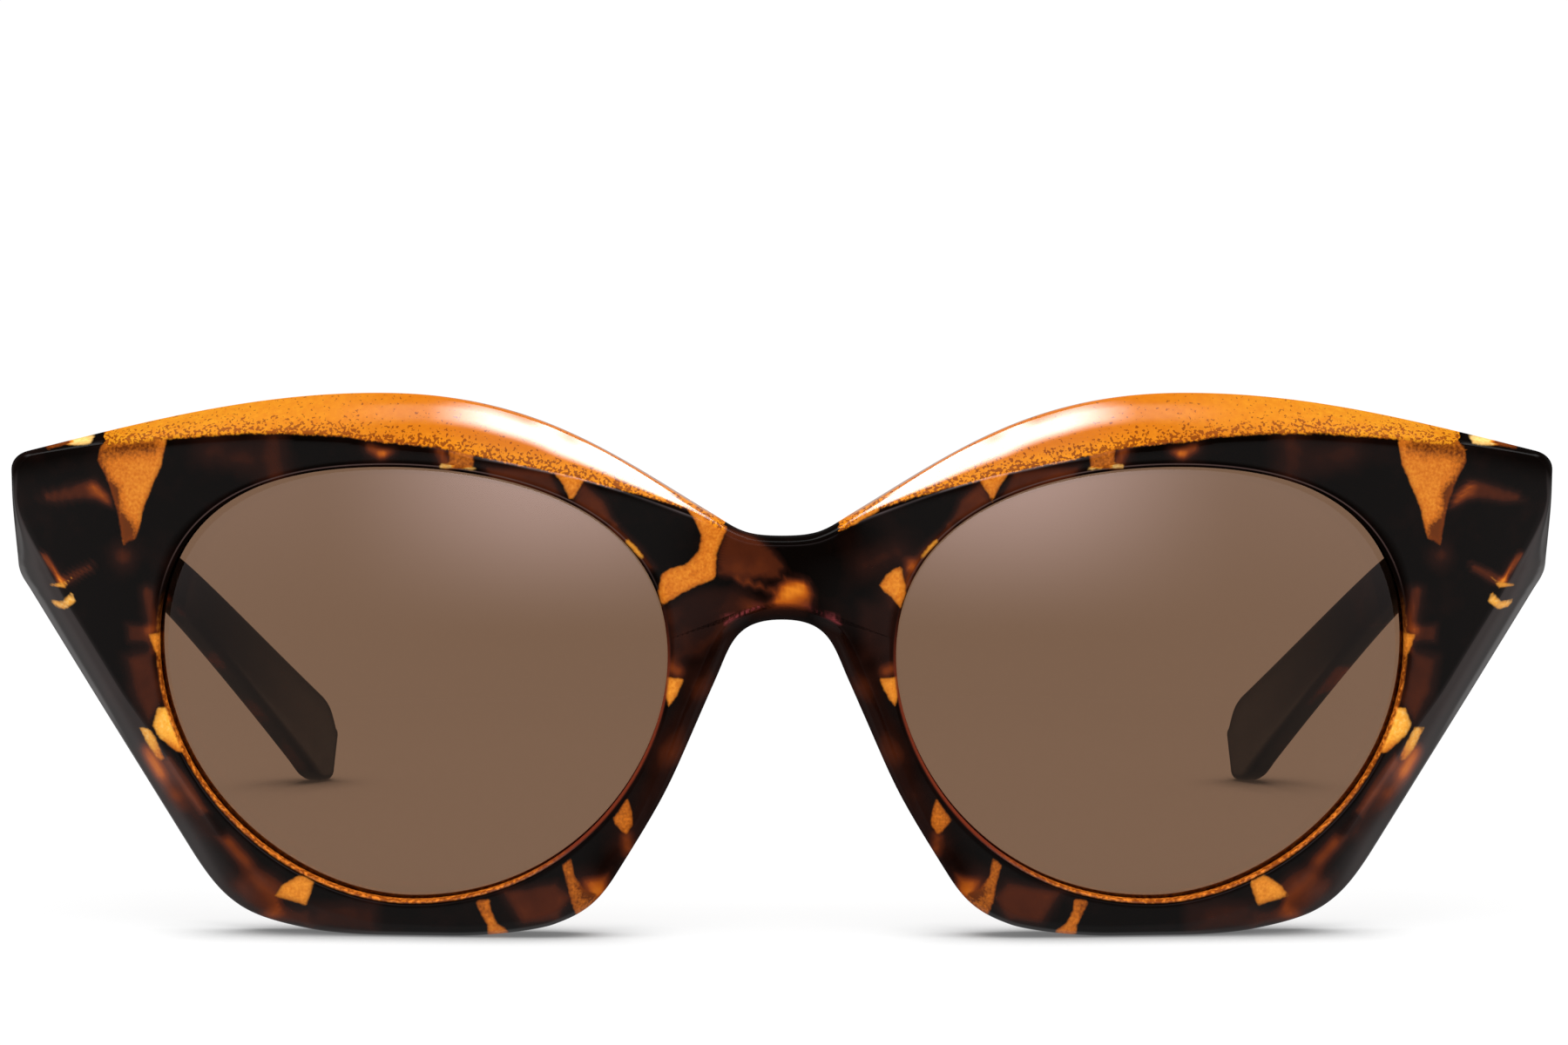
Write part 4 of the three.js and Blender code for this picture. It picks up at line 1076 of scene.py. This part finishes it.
def paint_front(piece):
    """Stores, at every point of the front, the fields that the tortoiseshell and its painted
    highlights are painted from.
    """
    mesh = piece.data
    flat = np.zeros(len(mesh.vertices) * 3, np.float32)
    mesh.vertices.foreach_get("co", flat)
    place = flat.reshape(-1, 3).astype(float) * 1000
    whole = place[:, [0, 2]]
    half = np.abs(whole * [1, 0]) + whole * [0, 1]
    distance, tone = np.full(len(half), 1e9), np.zeros(len(half))
    for points, windows in ((half, AMBER_WINDOWS_AND_GLINTS), (whole, BRIDGE_WINDOWS)):
        for brightness, outline in windows:
            found = outline_distance(points, outline)
            tone = np.where(found < distance, brightness, tone)
            distance = np.minimum(distance, found)
    tone -= glow_over(half, AMBER_SHADES)
    brow = half[:, 1] - np.interp(half[:, 0], *np.array(BROW_LINE, float).T)
    brow = np.where(half[:, 0] > BROW_START_X, brow, -9.0)
    lens = lengths(half - LENS_CENTRE) - lengths(opening_towards(half) - LENS_CENTRE)
    dull = np.clip(glow_over(half, DULL), 0, 1)
    dull = np.maximum(dull, 1 - smooth((lens - 0.5) / 0.35))
    outer_brow = smooth((half[:, 0] - SATIN_BROW_X) / 8) * (brow > -0.6)
    brow_edge = np.exp(-((brow + 0.25) / 0.4) ** 2) * (half[:, 0] < BROW_END_X)
    # glows and clouds of the dark layer, and a painted highlight on the side facet's ridge
    ember_and_painted_ridge = clouds_over(half, CLOUDS) + clouds_over(whole, BRIDGE_CLOUDS)
    ember_and_painted_ridge += glow_over(half, GLOWS_AND_PAINTED_RIDGE) + glow_over(whole, BRIDGE_GLOWS)
    shine = np.where(brow > -0.1, 1.0, 0.5)
    gloss = shine * (1 - 0.94 * dull) * (1 - 0.93 * outer_brow) * (1 - 0.9 * brow_edge)
    fields = {"amber_distance": distance, "amber_tone": tone, "brow_height": brow, "gloss": gloss,
              "lens_distance": lens, "ember_and_painted_ridge": ember_and_painted_ridge,
              "painted_arch_highlight": np.clip(glow_over(half, PAINTED_ARCH_HIGHLIGHTS), 0, 1)}
    for name, values in fields.items():
        field = mesh.attributes.new(name, "FLOAT", "POINT")
        field.data.foreach_set("value", values.astype(np.float32))


# ---- Pieces ------------------------------------------------------------------------------

tortoise = tortoise_material()
temple_acetate = temple_material()
amber_pad = pad_material()
tinted = lens_material()
hinge_metal = metal_material("hinge_metal", (0.3, 0.27, 0.23, 1), 0.38)
screw_metal = metal_material("screw_metal", (0.56, 0.54, 0.5, 1), 0.22)


def place_piece(piece, material, body, node):
    finish_with(piece, material)
    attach(piece, body)
    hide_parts(node)


def build_front():
    front = front_shell()
    combine(front, [end_block(side) for side in SIDES], "UNION")
    combine(front, [cutter for side in SIDES for cutter in front_leaf_cutters(side)], "DIFFERENCE")
    paint_front(front)
    place_piece(front, tortoise, "front", "frame_front")


def build_sides():
    for side in SIDES:
        temple = temple_bar(side)
        combine(temple, temple_leaf_cutters(side), "DIFFERENCE")
        place_piece(temple, temple_acetate, f"temple_{side}", f"temple_{side}")
        place_piece(lens_mesh(side), tinted, "front", f"lens_{side}")
        place_piece(nose_pad(side), amber_pad, "front", f"nose_pad_{side}")


def soft_edges():
    """Node group that shades a CAD piece smooth except across its sharp edges."""
    group = bpy.data.node_groups.new("smooth_but_sharp", "GeometryNodeTree")
    for way in ("INPUT", "OUTPUT"):
        group.interface.new_socket("Geometry", in_out=way, socket_type="NodeSocketGeometry")
    g = Graph(group)
    entry = g.node("NodeGroupInput").outputs[0]
    faces = g.node("GeometryNodeSetShadeSmooth", {"Geometry": entry})
    angle = g.node("GeometryNodeInputMeshEdgeAngle").outputs["Unsigned Angle"]
    sharp = g.node("FunctionNodeCompare", {"A": angle, "B": math.radians(32)})
    edges = g.node("GeometryNodeSetShadeSmooth", {"Geometry": faces.outputs[0],
                                                  "Selection": sharp.outputs[0],
                                                  "Shade Smooth": False}, domain="EDGE")
    g.node("NodeGroupOutput", {"Geometry": edges.outputs[0]})
    return group


def finish_cad_pieces():
    """Materials and softened edges for the metal pieces whose CAD shape is kept."""
    shading = soft_edges()
    for name, node in frame["nodes"].items():
        if "screw" in name:
            finish_with(node, screw_metal)
        elif "hinge" in name or "wire" in name:
            finish_with(node, hinge_metal)
        else:
            finish_with(node, tortoise)
            continue
        edge = node.modifiers.new("broken_edges", "BEVEL")
        edge.width, edge.segments, edge.angle_limit = 0.00008, 2, math.radians(35)
        node.modifiers.new("shading", "NODES").node_group = shading


# ---- Table, light and camera, in metres --------------------------------------------------

CONTACT_SHADOW_REACH = 0.011
WHITE_TABLE_FROM, WHITE_TABLE_FULL = 0.11, 0.2
LAMP = {"size": 0.7, "size_y": 0.5, "energy": 5.0}
LAMP_PLACE, LAMP_TARGET = Vector((0, -0.35, 0.8)), Vector((0, -0.05, 0))
CAMERA_PLACE = (0.0002, FRONT_Y - 0.467, 0.0619)
CAMERA_LENS, CAMERA_SENSOR = 114.9, 36   # millimetres
CAMERA_TILT = 2.79                  # degrees below level


def build_table():
    """A white table that stays white as far as the camera sees, with a soft contact shadow."""
    mesh = bpy.data.meshes.new("table")
    mesh.from_pydata([(-6, -6, 0), (6, -6, 0), (6, 6, 0), (-6, 6, 0)], [], [(0, 1, 2, 3)])
    table = add_object("table", mesh)
    material, g = new_material("white_table")
    seen = g.shader("LightPath", output="Is Camera Ray")
    away = g.shader("VectorMath", {0: g.place()}, "Value", operation="LENGTH")
    open_sky = g.shader("AmbientOcclusion", {"Distance": CONTACT_SHADOW_REACH}, "AO", samples=16)
    contact = g.ramp(open_sky, 0.4, 0.93, 0.15, 0.8)
    lit = g.shader("Emission", {"Color": grey(SEEN_WHITE), "Strength": contact})
    near = g.shader("AddShader", {0: lit, 1: g.shader("BsdfDiffuse", {"Color": grey(0.17)})})
    far = g.shader("Emission", {"Color": grey(SEEN_WHITE)})
    shown = g.shader_mix(g.ramp(away, WHITE_TABLE_FROM, WHITE_TABLE_FULL), near, far)
    matt = g.shader("BsdfDiffuse", {"Color": grey(0.8)})
    g.surface(g.shader_mix(seen, matt, shown))
    finish_with(table, material)
    table.visible_glossy = False


def build_world():
    """White to the camera and for soft light, with a few bright fields where surfaces mirror it."""
    world = bpy.data.worlds.new("studio")
    bpy.context.scene.world = world
    world.use_nodes = True
    world.cycles.sampling_method = "NONE"
    g = Graph(world.node_tree)
    x, y, z = g.axes(g.shader("TexCoord", output="Generated"))
    across = g.math("ABSOLUTE", x)

    # warm walls on both sides, the wall behind, a strip that the temple tips mirror, and the floor
    sides = g.times(g.ramp(across, 0.35, 0.8), g.ramp(z, -0.8, -0.36, 0.0, 0.68),
                    g.ramp(y, 0.45, 0.15, 0.3, 1.0), g.ramp(y, -0.6, -0.3, 0.35, 1.0),
                    g.ramp(z, 0.6, 0.1, 0.3, 1.0))
    behind = g.ramp(y, 0.0, 0.4, 0.0, 0.3)
    beside_tips = g.times(g.ramp(across, 0.6, 0.7), g.ramp(y, 0.45, 0.55, 0.0, 0.7),
                          g.ramp(y, 0.78, 0.66))
    below = g.ramp(z, -0.35, -0.8, 0.0, 0.06)

    # a rosy glow in front, and a bright window above it whose edges curve
    glow = g.times(g.ramp(z, -0.02, 0.32, 0.0, 5.8), g.ramp(z, 0.52, 0.36), g.ramp(y, -0.3, -0.7),
                   g.ramp(across, 0.4, 0.02, 0.12, 1.0))
    lower_edge = g.add(y, g.ramp(across, 0.2, 0.34, 0.07, 0.0), g.ramp(across, 0.36, 0.5, 0.0, 0.16))
    upper_edge = g.add(y, g.ramp(across, 0.15, 0.35, 0.08, -0.25))
    window = g.times(g.ramp(lower_edge, -0.42, -0.27), g.ramp(upper_edge, -0.02, -0.14),
                     g.ramp(across, 0.78, 0.62), g.ramp(z, 0.3, 0.5, 0.0, 13.0))
    plain = g.add(0.16, behind, beside_tips, below, window)
    rosy, warm = g.scaled((1.0, 0.8, 0.82), glow), g.scaled((1.15, 0.94, 0.92), sides)
    mirrored_light = g.vector_sum(g.vector_sum(rosy, warm), plain)

    path = g.node("ShaderNodeLightPath").outputs
    shade = g.mix(path["Is Glossy Ray"], grey(0.85), mirrored_light)
    shown = g.mix(path["Is Camera Ray"], shade, grey(SEEN_WHITE))
    light = g.shader("Background", {"Color": shown, "Strength": 1.0})
    g.node("ShaderNodeOutputWorld", {"Surface": light})


def build_lamp():
    lamp = bpy.data.lights.new("overhead", "AREA")
    lamp.shape = "RECTANGLE"
    for name, value in LAMP.items():
        setattr(lamp, name, value)
    holder = add_object("overhead", lamp)
    holder.location = LAMP_PLACE
    holder.rotation_euler = (LAMP_TARGET - LAMP_PLACE).to_track_quat("-Z", "Y").to_euler()
    holder.visible_glossy = False


def build_camera():
    camera = bpy.data.cameras.new("camera")
    camera.sensor_width = CAMERA_SENSOR
    camera.lens = CAMERA_LENS
    holder = add_object("camera", camera)
    holder.location = CAMERA_PLACE
    holder.rotation_euler = (math.radians(90 - CAMERA_TILT), 0, 0)
    bpy.context.scene.camera = holder


build_front()
build_sides()
finish_cad_pieces()
build_table()
build_world()
build_lamp()
build_camera()
bpy.context.scene.view_settings.view_transform = "Standard"
